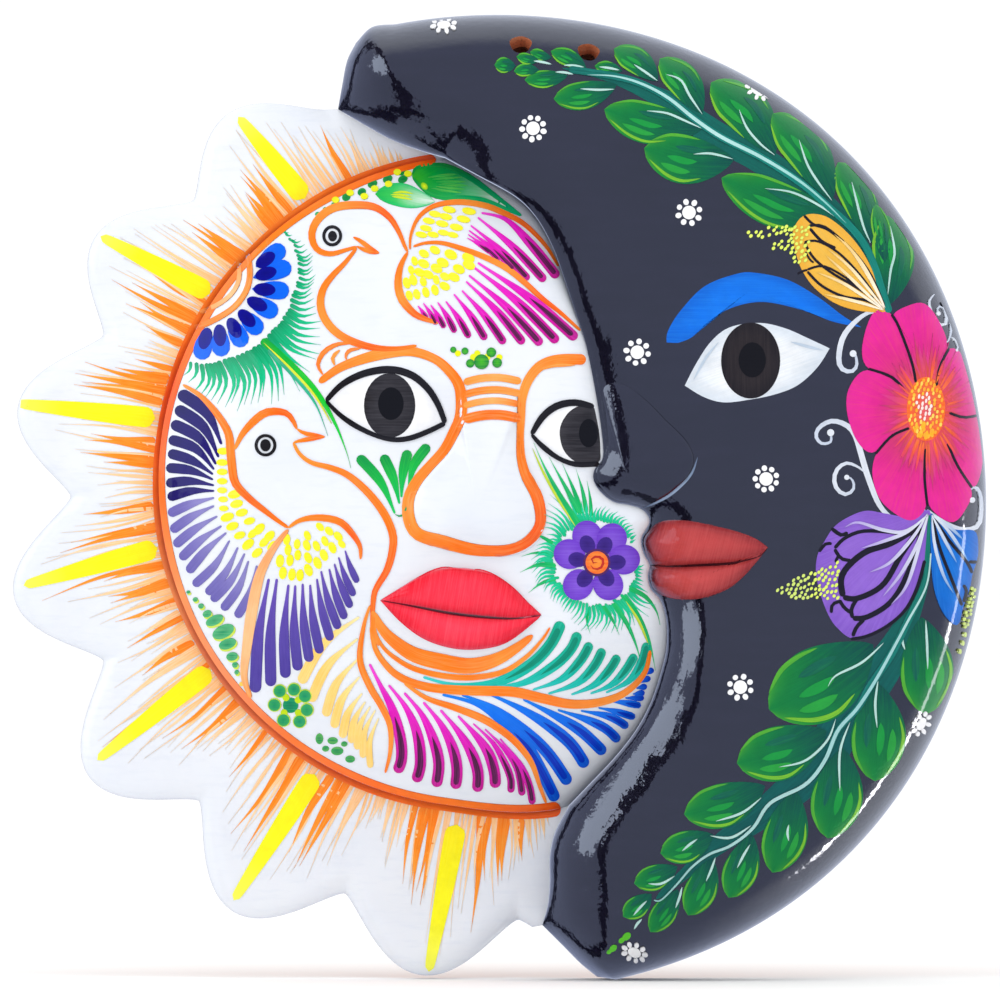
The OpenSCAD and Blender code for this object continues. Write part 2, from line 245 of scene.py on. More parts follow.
def hand_made(p):
    """The slight waves that pressing and scraping leave in the clay."""
    x, z = p[:, 0], p[:, 1]
    return (0.16 * np.sin(x / 9.1 + 0.7 * np.sin(z / 13.0)) * np.sin(z / 10.3 + 1.1)
        + 0.12 * np.sin(x / 5.3 - z / 7.9 + 2.0) * np.sin(z / 17.0 + x / 23.0)
        + 0.05 * np.sin(x / 2.7 + z / 3.9))


def moon_height(p):
    rim = to_line(p, moon_rim)
    side = to_line(p, seam)
    out = np.hypot(*(p - SUN_C).T)
    beside = lerp(0.50, 0.84, smooth((p[:, 1] + 14) / 24))
    low = lerp(beside, 0.12, smooth((out - 92) / 20))
    return (12 + 33 * (0.5 * roll(rim, 14) + 0.5 * roll(rim, 60)) * lerp(low, 1, roll(side, 20))
        + mound(p, (78, 48), (30, 9), 3) + mound(p, (76, 30), (22, 11), 2.5)
        + mound(p, (62, -50), (14, 14), 4) + hand_made(p) * np.minimum(1, np.minimum(rim, side) / 8))


def sun_height(p):
    out = np.minimum(0.999, np.hypot(*(p - SUN_C).T) / (SUN_R + 4))
    side = to_line(p, seam_b)
    return (16 + 34 * (1 - out * out) ** 0.7 - 4 * (1 - roll(side, 9)) + mound(p, (-31, 36), (24, 7), 3)
        + mound(p, (-34, 26), (14, 8), 2) + mound(p, (26, -40), (20, 22), 4)
        + mound(p, (-6, -70), (22, 14), 4) + mound(p, (-54, -18), (24, 24), 3)
        + hand_made(p) * smooth(side / 8) * smooth((1 - out) * 12))


def ray_height(p):
    v = p - SUN_C
    r = np.hypot(*v.T)
    angle = np.degrees(np.arctan2(v[:, 1], v[:, 0])) % 360
    edge = np.maximum(0, np.array([ray_radius(a) for a in angle]) - r)
    return 7 + 4 * roll(edge, 10) + 5 * (1 - smooth((r - SUN_R) / 34)) + hand_made(p) * smooth(edge / 8)


def eased(rows, times):
    """Rubs down the creases of a grid of heights, as a wet finger does, and leaves its border alone."""
    for _ in range(times):
        rows[1:-1, 1:-1] += 0.25 * (rows[2:, 1:-1] + rows[:-2, 1:-1] + rows[1:-1, 2:] + rows[1:-1, :-2]
            - 4 * rows[1:-1, 1:-1])
    return rows


def eased_disc(values, n, times):
    """The same for a disc of rings of n points round a middle one."""
    rows = values[1:].reshape(-1, n)
    for _ in range(times):
        inner = np.vstack([np.full((1, n), rows[0].mean()), rows[:-1]])
        outer = np.vstack([rows[1:], rows[-1:]])
        blend = 0.25 * (inner + outer + np.roll(rows, 1, 1) + np.roll(rows, -1, 1))
        rows[:-1] = lerp(rows[:-1], blend[:-1], 0.8)
    return np.concatenate([[rows[0].mean()], rows.ravel()])


# ---------------------------------------------------------------- meshes


def new_object(name, verts, faces, body="root"):
    mesh = bpy.data.meshes.new(name)
    mesh.from_pydata([tuple(v) for v in np.asarray(verts)], [], [tuple(int(i) for i in f) for f in faces])
    mesh.validate()
    obj = bpy.data.objects.new(name, mesh)
    bpy.context.scene.collection.objects.link(obj)
    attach(obj, body)
    return obj


def space(p, h):
    p = np.asarray(p, float).reshape(-1, 2)
    return np.column_stack([p[:, 0], -np.broadcast_to(h, len(p)), p[:, 1]]) * MM


def patch(a, b, c, d, across):
    s = even(len(a) - 1)[:, None, None]
    t = np.asarray(across)[None, :, None]
    return (lerp(a[:, None], b[:, None], t) + lerp(c[None], d[None], s)
        - lerp(lerp(a[0], a[-1], s), lerp(b[0], b[-1], s), t))


def grid_faces(n, m, first=0, turned=False):
    k = (np.arange(n)[:, None] * (m + 1) + np.arange(m)).ravel() + first
    quads = np.column_stack([k, k + 1, k + m + 2, k + m + 1])
    return quads[:, ::-1] if turned else quads


def edge_loop(n, m):
    return np.concatenate([np.arange(n) * (m + 1), n * (m + 1) + np.arange(m),
        np.arange(n, 0, -1) * (m + 1) + m, np.arange(m, 0, -1)])


def band(a, b):
    return np.column_stack([a, np.roll(a, -1), np.roll(b, -1), b])


def disc_faces(n, m, first=0, turned=False):
    """Rings of n points round one middle point, which comes first."""
    ring = first + 1 + np.arange(n)
    tris = [(first, int(b), int(a)) for a, b in zip(ring, np.roll(ring, -1))]
    quads = np.vstack([band(ring + j * n, ring + (j + 1) * n) for j in range(m - 1)])
    if turned:
        return [t[::-1] for t in tris] + [tuple(q[::-1]) for q in quads]
    return tris + [tuple(q) for q in quads]


def disc_grid(c, line, shares):
    return np.vstack([np.asarray(c, float)[None]] + [lerp(np.asarray(c, float), line, u) for u in shares])


def outward(obj):
    """Turns the faces of a closed piece outwards."""
    bm = bmesh.new()
    bm.from_mesh(obj.data)
    bmesh.ops.recalc_face_normals(bm, faces=bm.faces)
    if bm.calc_volume(signed=True) < 0:
        bmesh.ops.reverse_faces(bm, faces=bm.faces)
    bm.to_mesh(obj.data)
    bm.free()
    obj.data.shade_smooth()
    obj.data.set_sharp_from_angle(angle=math.radians(50))


def shell_mesh(name, front_pts, front_h, hollow_pts, hollow_h, loop, front_faces, back_faces):
    """A pressed shell: relief, side wall, flat back rim, cavity wall and cavity roof."""
    count = len(front_pts)
    ease = even(4)[1:]
    verts = [space(front_pts, front_h), space(hollow_pts, hollow_h)]
    faces = [front_faces, back_faces]
    last, base = loop, 2 * count
    for u in ease:                                    # the side wall, down to the plane of the wall
        verts.append(space(front_pts[loop], front_h[loop] * (1 - u)))
        ring = base + np.arange(len(loop))
        faces.append(band(last, ring))
        last, base = ring, base + len(loop)
    ring = base + np.arange(len(loop))
    verts.append(space(hollow_pts[loop], 0))
    faces += [band(last, ring), band(ring, loop + count)]
    obj = new_object(name, np.vstack(verts), [f for part in faces for f in part])
    outward(obj)
    return obj


grid = patch(seam, moon_outer, moon_top, moon_low, crowded(ACROSS)).reshape(-1, 2)
heights = eased(moon_height(grid).reshape(ALONG + 1, ACROSS + 1), 8).ravel()


end = WALL / min(length(seam), length(moon_outer))
s = lerp(end, 1 - end, even(ALONG))
sa, sb = sample(seam, s), sample(moon_outer, s)
gap = WALL / np.hypot(*(sa - sb).T)
hollow = []
for i in range(ALONG + 1):
    t = lerp(gap[i], 1 - gap[i], crowded(ACROSS))
    hollow.append(lerp(sa[i], sb[i], t[:, None]) + lerp(sample(moon_top, t), sample(moon_low, t), s[i])
        - lerp(lerp(seam[0], seam[-1], s[i]), lerp(moon_outer[0], moon_outer[-1], s[i]), t[:, None]))
hollow = np.vstack(hollow)
moon = shell_mesh("moon_relief", grid, heights, hollow, np.maximum(3, moon_height(hollow) - WALL),
    edge_loop(ALONG, ACROSS), grid_faces(ALONG, ACROSS), grid_faces(ALONG, ACROSS, len(grid), True))

HOLE_R = 3.3


def hole_axis(angle):
    """Mouth of a hanging hole, in millimetres, and its direction, square to the clay of the shoulder."""
    mouth = polar(MOON_C, moon_radius(angle) - 9.5, angle)
    out = aim(angle)
    ends = moon_height(np.array([mouth - 0.5 * out, mouth + 0.5 * out]))
    fall = ends[0] - ends[1]
    way = np.array([fall * out[0], -1, fall * out[1]])
    return np.array([mouth[0], -moon_height(mouth[None])[0], mouth[1]]), way / np.linalg.norm(way)


def drill(obj, place, way):
    """Pushes a slightly uneven stick through the wet wall."""
    n, levels = 48, 9
    turn = Vector((0, 0, 1)).rotation_difference(Vector(way)).to_matrix()
    rows = []
    for depth in np.linspace(-13, 7, levels):         # from in front of the mouth to inside the hollow
        a = np.linspace(0, 2 * np.pi, n, endpoint=False)
        r = (HOLE_R + 0.12 * np.sin(3 * a + depth * 0.4) + 0.08 * np.sin(5 * a - depth * 0.3)
            + 0.3 * math.exp(-((depth - 1.2) / 1.4) ** 2))
        rows.append(np.column_stack([r * np.cos(a), r * np.sin(a), np.full(n, depth)]))
    pts = np.vstack(rows)
    pts = np.array([turn @ Vector(p) for p in pts]) + place
    faces = []
    for k in range(levels - 1):
        faces += [tuple(f) for f in band(k * n + np.arange(n), (k + 1) * n + np.arange(n))]
    faces += [tuple(range(n)), tuple(range(levels * n - 1, (levels - 1) * n - 1, -1))]
    mesh = bpy.data.meshes.new("stick")
    mesh.from_pydata([tuple(p * MM) for p in pts], [], faces)
    for slot in obj.data.materials:
        mesh.materials.append(slot)
    for poly in mesh.polygons:
        poly.material_index = 1                       # bare clay
    stick = bpy.data.objects.new("stick", mesh)
    bpy.context.scene.collection.objects.link(stick)
    outward(stick)
    cut = obj.modifiers.new("hole", "BOOLEAN")
    cut.operation, cut.solver, cut.object = "DIFFERENCE", "EXACT", stick
    depsgraph = bpy.context.evaluated_depsgraph_get()
    done = bpy.data.meshes.new_from_object(obj.evaluated_get(depsgraph))
    obj.modifiers.clear()
    old = obj.data
    obj.data = done
    bpy.data.meshes.remove(old)
    bpy.data.objects.remove(stick)
    bpy.data.meshes.remove(mesh)
    done.shade_smooth()
    done.set_sharp_from_angle(angle=math.radians(50))


def burr(place, way):
    """The clay that the stick pushed out into the hollow, left as a collar round the hole."""
    n = 40
    a = np.linspace(0, 2 * np.pi, n, endpoint=False)
    turn = Vector((0, 0, 1)).rotation_difference(Vector(way)).to_matrix()
    rows = []
    profile = ((3.2, -5.4), (3.15, -8.4), (3.4, -9.6), (4.1, -10.1), (5.0, -9.3), (5.8, -7.6), (6.4, -5.4))
    for r, depth in profile:
        torn = r + 0.12 * np.sin(3 * a + depth)
        rows.append(np.column_stack([torn * np.cos(a), torn * np.sin(a),
            depth - 0.35 * np.sin(2 * a + r)]))
    pts = np.array([turn @ Vector(p) for p in np.vstack(rows)]) + place
    faces = []
    for k in range(len(profile)):
        faces += list(band(k * n + np.arange(n), (k + 1) % len(profile) * n + np.arange(n)))
    obj = new_object("hole_burr", pts * MM, faces)
    outward(obj)
    # painted shade: the collar inside the hole takes clay darkened to stand for the shade in there
    obj.data.materials.append(SHADE_PAINTED_CLAY)


HOLES = [hole_axis(87.1), hole_axis(78.6)]

RINGS = 74
ring_shares = np.sin(np.radians(90 * lerp(0.02, 1, even(RINGS - 1))))
disc = disc_grid(SUN_C, face_line, ring_shares)
face_in = face_line + WALL * (SUN_C - face_line) / np.hypot(*(SUN_C - face_line).T)[:, None]
disc_in = disc_grid(SUN_C, face_in, ring_shares)
n_face = len(face_line)
sun = shell_mesh("sun_relief", disc, sun_height(disc), disc_in, sun_height(disc_in) - WALL,
    1 + (RINGS - 1) * n_face + np.arange(n_face), disc_faces(n_face, RINGS),
    disc_faces(n_face, RINGS, len(disc), True))

DEPTH = 30
out_shares = 1 - np.cos(np.pi / 2 * even(DEPTH))
flange_grid = patch(ray_line, round_edge, sample(spline(SEAM_TOP, 12), out_shares),
    sample(spline(SEAM_LOW, 12)[::-1], out_shares), out_shares).reshape(-1, 2)
loop = edge_loop(ROUND, DEPTH)
count = len(flange_grid)
flange_h = ray_height(flange_grid)
verts = [space(flange_grid, flange_h), space(flange_grid, 0)]
faces = [grid_faces(ROUND, DEPTH), grid_faces(ROUND, DEPTH, count, True)]
last = loop
for k, u in enumerate((0.3, 0.65, 0.9)):
    verts.append(space(flange_grid[loop], flange_h[loop] * (1 - u)))
    ring = 2 * count + k * len(loop) + np.arange(len(loop))
    faces.append(band(last, ring))
    last = ring
faces.append(band(last, loop + count))
flange = new_object("ray_flange_relief", np.vstack(verts), [f for part in faces for f in part])
outward(flange)


SEATED_MM = 0.12                   # how far the edge of a nose or a lip lies below the clay's face
ROOTED_MM = 1.6                    # and how far its underside does


def feature(name, c, outline, height, rise, edge, fall, soft, node):
    """A nose or a lip, modelled on the clay: it rolls down to the shell at its outline."""
    n, rows = 160, 30
    line = sample(np.vstack([outline, outline[:1]]), even(n))[:-1]
    shares = np.sin(np.radians(90 * lerp(0.03, 1, even(rows))))
    pts = disc_grid(c, line, shares)
    d = to_line(pts, np.vstack([line, line[:1]]))
    shape = smooth(d / (edge * 1.25)) if soft else roll(d, edge)
    lift = rise * shape * np.exp(-(np.hypot(*(pts - np.asarray(c, float)).T) / fall) ** 2)
    lift = eased_disc(lift, n, 400 if soft else 3)
    base = height(pts)
    count = len(pts)
    ring = 1 + rows * n + np.arange(n)
    verts = np.vstack([space(pts, base + lift - SEATED_MM), space(pts, base - ROOTED_MM)])
    obj = new_object(name, verts, disc_faces(n, rows + 1) + disc_faces(n, rows + 1, count, True)
        + [tuple(f) for f in band(ring, ring + count)])
    outward(obj)
    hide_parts(node)
    return obj


def lip_line(mouth, outer):
    return np.vstack([spline(mouth, 8)[:-1], spline(outer, 8)[:-1]])


moon_nose = feature("moon_nose_form", (40, 6), spline(MOON_NOSE, 8, True), moon_height, 7, 9, 26, True,
    "moon_nose")
sun_nose = feature("sun_nose_form", (-6, -5), spline(SUN_NOSE, 8, True), sun_height, 10, 11, 34, True,
    "sun_nose")
moon_upper = feature("moon_upper_lip_form", (58, -14.5), lip_line(MOON_MOUTH, MOON_UPPER), moon_height, 5,
    6, 30, False, "moon_upper_lip")
moon_lower = feature("moon_lower_lip_form", (58, -26), lip_line(MOON_MOUTH[::-1], MOON_LOWER),
    moon_height, 5, 6, 30, False, "moon_lower_lip")
sun_upper = feature("sun_upper_lip_form", (-11, -29.5), lip_line(SUN_MOUTH, SUN_UPPER), sun_height, 5, 7,
    30, False, "sun_upper_lip")
sun_lower = feature("sun_lower_lip_form", (-9, -41.5), lip_line(SUN_MOUTH[::-1], SUN_LOWER), sun_height,
    5, 6, 30, False, "sun_lower_lip")
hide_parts("moon_shell")
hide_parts("sun_face_shell")
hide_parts("sun_ray_flange")

# ---------------------------------------------------------------- materials


def nodes_of(name):
    mat = bpy.data.materials.new(name)
    mat.use_nodes = True
    tree = mat.node_tree
    return mat, tree, tree.nodes["Principled BSDF"]


def add(tree, kind, inputs=(), **settings):
    node = tree.nodes.new(kind)
    for key, value in settings.items():
        setattr(node, key, value)
    for key, value in dict(inputs).items():
        if isinstance(value, bpy.types.NodeSocket):
            tree.links.new(value, node.inputs[key])
        else:
            node.inputs[key].default_value = value
    return node


def noise(tree, scale, detail=3.0, rough=0.5, stretch=None, source=None):
    """Noise in millimetres of the object's own space: scale is waves to a metre."""
    coord = source or add(tree, "ShaderNodeTexCoord").outputs["Object"]
    if stretch:
        coord = add(tree, "ShaderNodeMapping", {"Vector": coord, "Scale": stretch}).outputs["Vector"]
    return add(tree, "ShaderNodeTexNoise", {"Vector": coord, "Scale": scale, "Detail": detail,
        "Roughness": rough}).outputs["Fac"]


def ramp(tree, fac, stops):
    node = add(tree, "ShaderNodeValToRGB", {"Fac": fac})
    el = node.color_ramp.elements
    while len(el) > 1:
        el.remove(el[-1])
    el[0].position, el[0].color = stops[0][0], (*stops[0][1], 1)
    for place, colour in stops[1:]:
        e = el.new(place)
        e.color = (*colour, 1)
    return node.outputs["Color"]


def mix(tree, fac, a, b):
    node = add(tree, "ShaderNodeMix", data_type="RGBA")
    for key, value in ((0, fac), (6, a), (7, b)):
        if isinstance(value, bpy.types.NodeSocket):
            tree.links.new(value, node.inputs[key])
        else:
            node.inputs[key].default_value = value if key == 0 else (*value, 1)
    return node.outputs[2]


def bump(tree, shader, height, depth_mm, strength=1.0):
    node = add(tree, "ShaderNodeBump", {"Height": height, "Distance": depth_mm * MM,
        "Strength": strength})
    tree.links.new(node.outputs["Normal"], shader.inputs["Normal"])
    return node


def lacquered(shader, ior):
    """A thick clear coat. A higher ior is a harder, brighter shine."""
    shader.inputs["Roughness"].default_value = 0.4
    shader.inputs["Specular IOR Level"].default_value = 0.1
    shader.inputs["Coat Weight"].default_value = 1.0
    shader.inputs["Coat Roughness"].default_value = 0.02
    shader.inputs["Coat IOR"].default_value = ior


def srgb(*rgb):
    """A colour given as it looks on a screen, 0 to 255, as linear light."""
    shares = (v / 255 for v in rgb)
    return tuple(c / 12.92 if c <= 0.04045 else ((c + 0.055) / 1.055) ** 2.4 for c in shares)


def orange_peel(tree, shader, depth_mm):
    """The fine unevenness of brushed lacquer, over the slower sag of the coat."""
    fine = noise(tree, 420, 2.0)
    slow = noise(tree, 110, 2.0)
    total = add(tree, "ShaderNodeMath", {0: fine, 1: slow}, operation="ADD").outputs[0]
    node = bump(tree, shader, total, depth_mm, 0.55)
    tree.links.new(node.outputs["Normal"], shader.inputs["Coat Normal"])


def fade(tree, fac, start, stop, most):
    """Nothing below start, and most, a share, from stop."""
    return ramp(tree, fac, [(start, (0, 0, 0)), (stop, (most,) * 3)])


def lacquer(name, clouds, hairs, stretch, colours, streaks=(0.5, 0.8, 0.5), ior=1.45, peel_mm=0.05):
    """Lacquer, cloudy from dark to light, with brush streaks: colours are those three, 0 to 255."""
    dark, light, streak = (srgb(*c) for c in colours)
    mat, tree, shader = nodes_of(name)
    cloudy = noise(tree, clouds, 4.0, 0.6)
    brushed = noise(tree, hairs, 3.0, 0.6, stretch=stretch)
    base = ramp(tree, cloudy, [(0.3, dark), (0.7, light)])
    tree.links.new(mix(tree, fade(tree, brushed, *streaks), base, streak), shader.inputs["Base Color"])
    lacquered(shader, ior)
    orange_peel(tree, shader, peel_mm)
    return mat


def bare_clay(name, dark=1.0):
    """Unglazed terracotta. dark is a share of its full brightness: painted shade, for clay that little
    light reaches.
    """
    mat, tree, shader = nodes_of(name)
    cloudy = noise(tree, 35, 6.0, 0.62)
    grit = noise(tree, 900, 2.0, 0.7)
    wiped = noise(tree, 160, 4.0, 0.6, stretch=(1.0, 1.0, 4.0))

    def tone(*rgb):
        return tuple(dark * c for c in srgb(*rgb))

    base = ramp(tree, cloudy, [(0.25, tone(150, 82, 54)), (0.5, tone(178, 104, 70)),
        (0.75, tone(196, 126, 90))])
    base = mix(tree, fade(tree, grit, 0.60, 0.68, 0.7), base, tone(112, 62, 44))
    base = mix(tree, fade(tree, wiped, 0.5, 0.8, 0.5), base, tone(205, 146, 112))
    tree.links.new(base, shader.inputs["Base Color"])
    shader.inputs["Roughness"].default_value = 0.92
    shader.inputs["Specular IOR Level"].default_value = 0.2
    total = add(tree, "ShaderNodeMath", {0: grit, 1: wiped}, operation="ADD").outputs[0]
    bump(tree, shader, total, 0.25, 0.8)
    return mat


def paint_coat(name):
    """Brushed paint under lacquer, in the colour of each stroke, streaked along it by the bristles."""
    mat, tree, shader = nodes_of(name)
    colour = add(tree, "ShaderNodeAttribute", attribute_name="pigment")
    stroke = add(tree, "ShaderNodeAttribute", attribute_name="stroke")
    hairs = add(tree, "ShaderNodeMapping", {"Vector": stroke.outputs["Vector"],
        "Scale": (0.09, 2.6, 1.0)})
    hair = noise(tree, 1.0, 3.0, 0.6, source=hairs.outputs["Vector"])
    cloud = noise(tree, 240, 3.0, 0.6)
    amount = add(tree, "ShaderNodeMapRange", {"Value": hair, "From Min": 0.40, "From Max": 0.80,
        "To Min": 0.0, "To Max": 1.0}).outputs["Result"]
    alpha = colour.outputs["Alpha"]
    thin = add(tree, "ShaderNodeMath", {0: amount, 1: alpha}, operation="MULTIPLY").outputs[0]
    light = add(tree, "ShaderNodeAttribute", attribute_name="underlay")
    streaked = mix(tree, thin, colour.outputs["Color"], light.outputs["Color"])
    shade = ramp(tree, cloud, [(0.3, (0.90, 0.90, 0.90)), (0.7, (1.0, 1.0, 1.0))])
    final = add(tree, "ShaderNodeMix", data_type="RGBA", blend_type="MULTIPLY")
    final.inputs[0].default_value = 1.0
    tree.links.new(streaked, final.inputs[6])
    tree.links.new(shade, final.inputs[7])
    tree.links.new(final.outputs[2], shader.inputs["Base Color"])
    lacquered(shader, 1.3)
    orange_peel(tree, shader, 0.08)
    return mat


BLACK = lacquer("black_lacquer", 28, 60, (1.0, 1.0, 7.0), ((11, 9, 23), (17, 15, 31), (24, 22, 40)),
    (0.45, 0.75, 0.5), 2.0, 0.16)
CLAY = bare_clay("bare_terracotta")
# painted shade: terracotta at 0.16 of its brightness, for the shaded inside of the hanging holes
SHADE_PAINTED_CLAY = bare_clay("shade_painted_terracotta", 0.16)
WHITE = lacquer("white_lacquer", 22, 90, (1.0, 1.0, 5.0), ((224, 229, 238), (233, 236, 241),
    (217, 223, 234)), (0.5, 0.8, 0.6))
RED_LIPS = lacquer("red_lip_lacquer", 60, 200, (4.0, 1.0, 1.0), ((226, 30, 52), (246, 60, 80),
    (255, 90, 110)))
BRICK_LIPS = lacquer("brick_lip_lacquer", 60, 200, (4.0, 1.0, 1.0), ((150, 44, 48), (180, 64, 64),
    (210, 94, 94)))
PAINT = paint_coat("brushed_paint")


def faces_of(obj, glaze):
    """Glaze on what the brush reached; the flat rim and the inside stay bare clay."""
    obj.data.materials.append(glaze)
    obj.data.materials.append(CLAY)


def glaze_shell(obj, glaze, front, back):
    """front and back count the points of the relief and of the cavity's roof, the first of the mesh."""
    rim_y = -0.0004                                   # metres: what lies behind this is the flat rim
    faces_of(obj, glaze)
    for poly in obj.data.polygons:
        ids = list(poly.vertices)
        rim = min(obj.data.vertices[i].co.y for i in ids) > rim_y
        poly.material_index = int(rim or any(front <= i < front + back for i in ids))


glaze_shell(moon, BLACK, len(grid), len(hollow))
glaze_shell(sun, WHITE, len(disc), len(disc))
glaze_shell(flange, WHITE, len(flange_grid), len(flange_grid))
for piece, glaze in ((moon_nose, BLACK), (sun_nose, WHITE), (sun_upper, RED_LIPS), (sun_lower, RED_LIPS),
        (moon_upper, BRICK_LIPS), (moon_lower, BRICK_LIPS)):
    piece.data.materials.append(glaze)
for piece in (sun, flange, sun_nose, sun_upper, sun_lower):
    piece.visible_glossy = False

# ---------------------------------------------------------------- paint: thin pats laid on the clay


IN_FRONT_M = 0.2                   # where the rays that find the clay start, well clear of it
NEAR_EDGE_M = 0.02                 # and the height from which a point that misses it looks for its edge


class Skin:
    """The front of the finished clay: where a point of the painting lands, and how the clay faces there."""

    def __init__(self, objs):
        verts, tris, normals, first = [], [], [], 0
        for obj in objs:
            mesh = obj.data
            mesh.calc_loop_triangles()
            co = np.empty(len(mesh.vertices) * 3)
            mesh.vertices.foreach_get("co", co)
            facing = np.empty(len(mesh.vertices) * 3)
            mesh.vertex_normals.foreach_get("vector", facing)
            tri = np.empty(len(mesh.loop_triangles) * 3, np.int32)
            mesh.loop_triangles.foreach_get("vertices", tri)
            co, facing, tri = co.reshape(-1, 3), facing.reshape(-1, 3), tri.reshape(-1, 3)
            a, b, c = co[tri[:, 0]], co[tri[:, 1]], co[tri[:, 2]]
            front = np.cross(b - a, c - a)
            keep = front[:, 1] < -0.02 * np.linalg.norm(front, axis=1)
            verts.append(co)
            normals.append(facing)
            tris.append(tri[keep] + first)
            first += len(co)
        self.verts, self.normals, self.tris = np.vstack(verts), np.vstack(normals), np.vstack(tris)
        self.tree = BVHTree.FromPolygons(self.verts.tolist(), self.tris.tolist())

    def drop(self, flat):
        """Places and unit normals, in metres, under points given in millimetres."""
        place, index = np.empty((len(flat), 3)), np.empty(len(flat), int)
        ahead = Vector((0, 1, 0))
        for k, (x, z) in enumerate(flat * MM):
            hit, _, face, _ = self.tree.ray_cast(Vector((x, -IN_FRONT_M, z)), ahead)
            if hit is None:
                hit, _, face, _ = self.tree.find_nearest(Vector((x, -NEAR_EDGE_M, z)))
            place[k], index[k] = hit, face
        tri = self.tris[index]
        a, b, c = self.verts[tri[:, 0]], self.verts[tri[:, 1]], self.verts[tri[:, 2]]
        e, f, g = b - a, c - a, place - a
        ee, ef, ff = (e * e).sum(1), (e * f).sum(1), (f * f).sum(1)
        ge, gf = (g * e).sum(1), (g * f).sum(1)
        det = np.maximum(ee * ff - ef * ef, 1e-24)
        v, w = (ff * ge - ef * gf) / det, (ee * gf - ef * ge) / det
        facing = (self.normals[tri[:, 0]] * (1 - v - w)[:, None] + self.normals[tri[:, 1]] * v[:, None]
            + self.normals[tri[:, 2]] * w[:, None])
        return place, facing / np.linalg.norm(facing, axis=1)[:, None]


skin = Skin([sun, flange, moon, moon_nose, sun_nose, moon_upper, moon_lower, sun_upper, sun_lower])
for place, way in HOLES:
    drill(moon, place, way)
    burr(place, way)


MOON_REACH = 150.6                 # from the moon's centre: where the paint stops
COAT_MM = 0.10                     # how high the lowest stroke stands above the clay
LEVEL_MM = 0.07                    # what each level above it adds
ORDER_MM = 0.006                   # and each later stroke of a motif, so that no two faces coincide
SUNK_MM = 0.06                     # how deep a stroke's underside lies in the clay


def blend_of(stops, u):
    """Colours along a stroke: one colour, or a list of colours spread evenly along it."""
    if not isinstance(stops[0], (tuple, list)):
        stops = [stops, stops]
    table = np.array([srgb(*c) for c in stops])
    places = np.linspace(0, 1, len(stops))
    u = np.clip(u, 0, 1)
    return np.column_stack([np.interp(u, places, table[:, k]) for k in range(3)])


def shape_of(kind, u, run, width):
    """Share of the full width at u, for a stroke that is run long."""
    cap = width / 2
    start, stop = roll(u * run, cap), roll((1 - u) * run, cap)
    if kind == "line":
        return np.minimum(start, stop)
    if kind == "feather":                     # thin where it leaves the body, round at the tip
        return lerp(0.22, 1, smooth(u / 0.7)) * roll((1 - u) * run, cap) * roll(u * run, cap * 0.3)
    if kind == "thorn":                       # round where the brush lands, drawn out to a point
        return start * (1 - smooth((u - 0.1) / 0.9)) ** 0.75
    if kind == "ray":                         # broad where the brush lands, nearly straight to its tip
        return np.minimum(start, stop ** 0.5) * lerp(1, 0.42, np.clip((u - 0.12) / 0.88, 0, 1) ** 1.5)
    if kind == "hair":
        return np.sin(np.pi * u) ** 0.6
    if kind == "foliage":                     # broadest past the middle, blunt at the tip
        return np.sin(np.pi * u ** 1.2) ** 0.62
    if kind == "leaf":
        return np.sin(np.pi * u ** 0.85) ** 0.75
    if kind == "petal":                       # narrow at its root, broad and round at the far end
        return (np.sin(np.pi * 0.5 * np.minimum(1, u / 0.62)) ** 0.8) * roll((1 - u) * run,
            min(cap, run * 0.4))
    if kind == "swell":                       # a line that is pressed in the middle
        return lerp(0.35, 1, np.sin(np.pi * u)) * np.minimum(start, stop)
    return np.ones_like(u)


def spin(pts, loop):
    """Above 0 where the loop runs anticlockwise as seen from the front."""
    x, z = pts[list(loop)].T
    return float(np.dot(x, np.roll(z, -1)) - np.dot(z, np.roll(x, -1)))


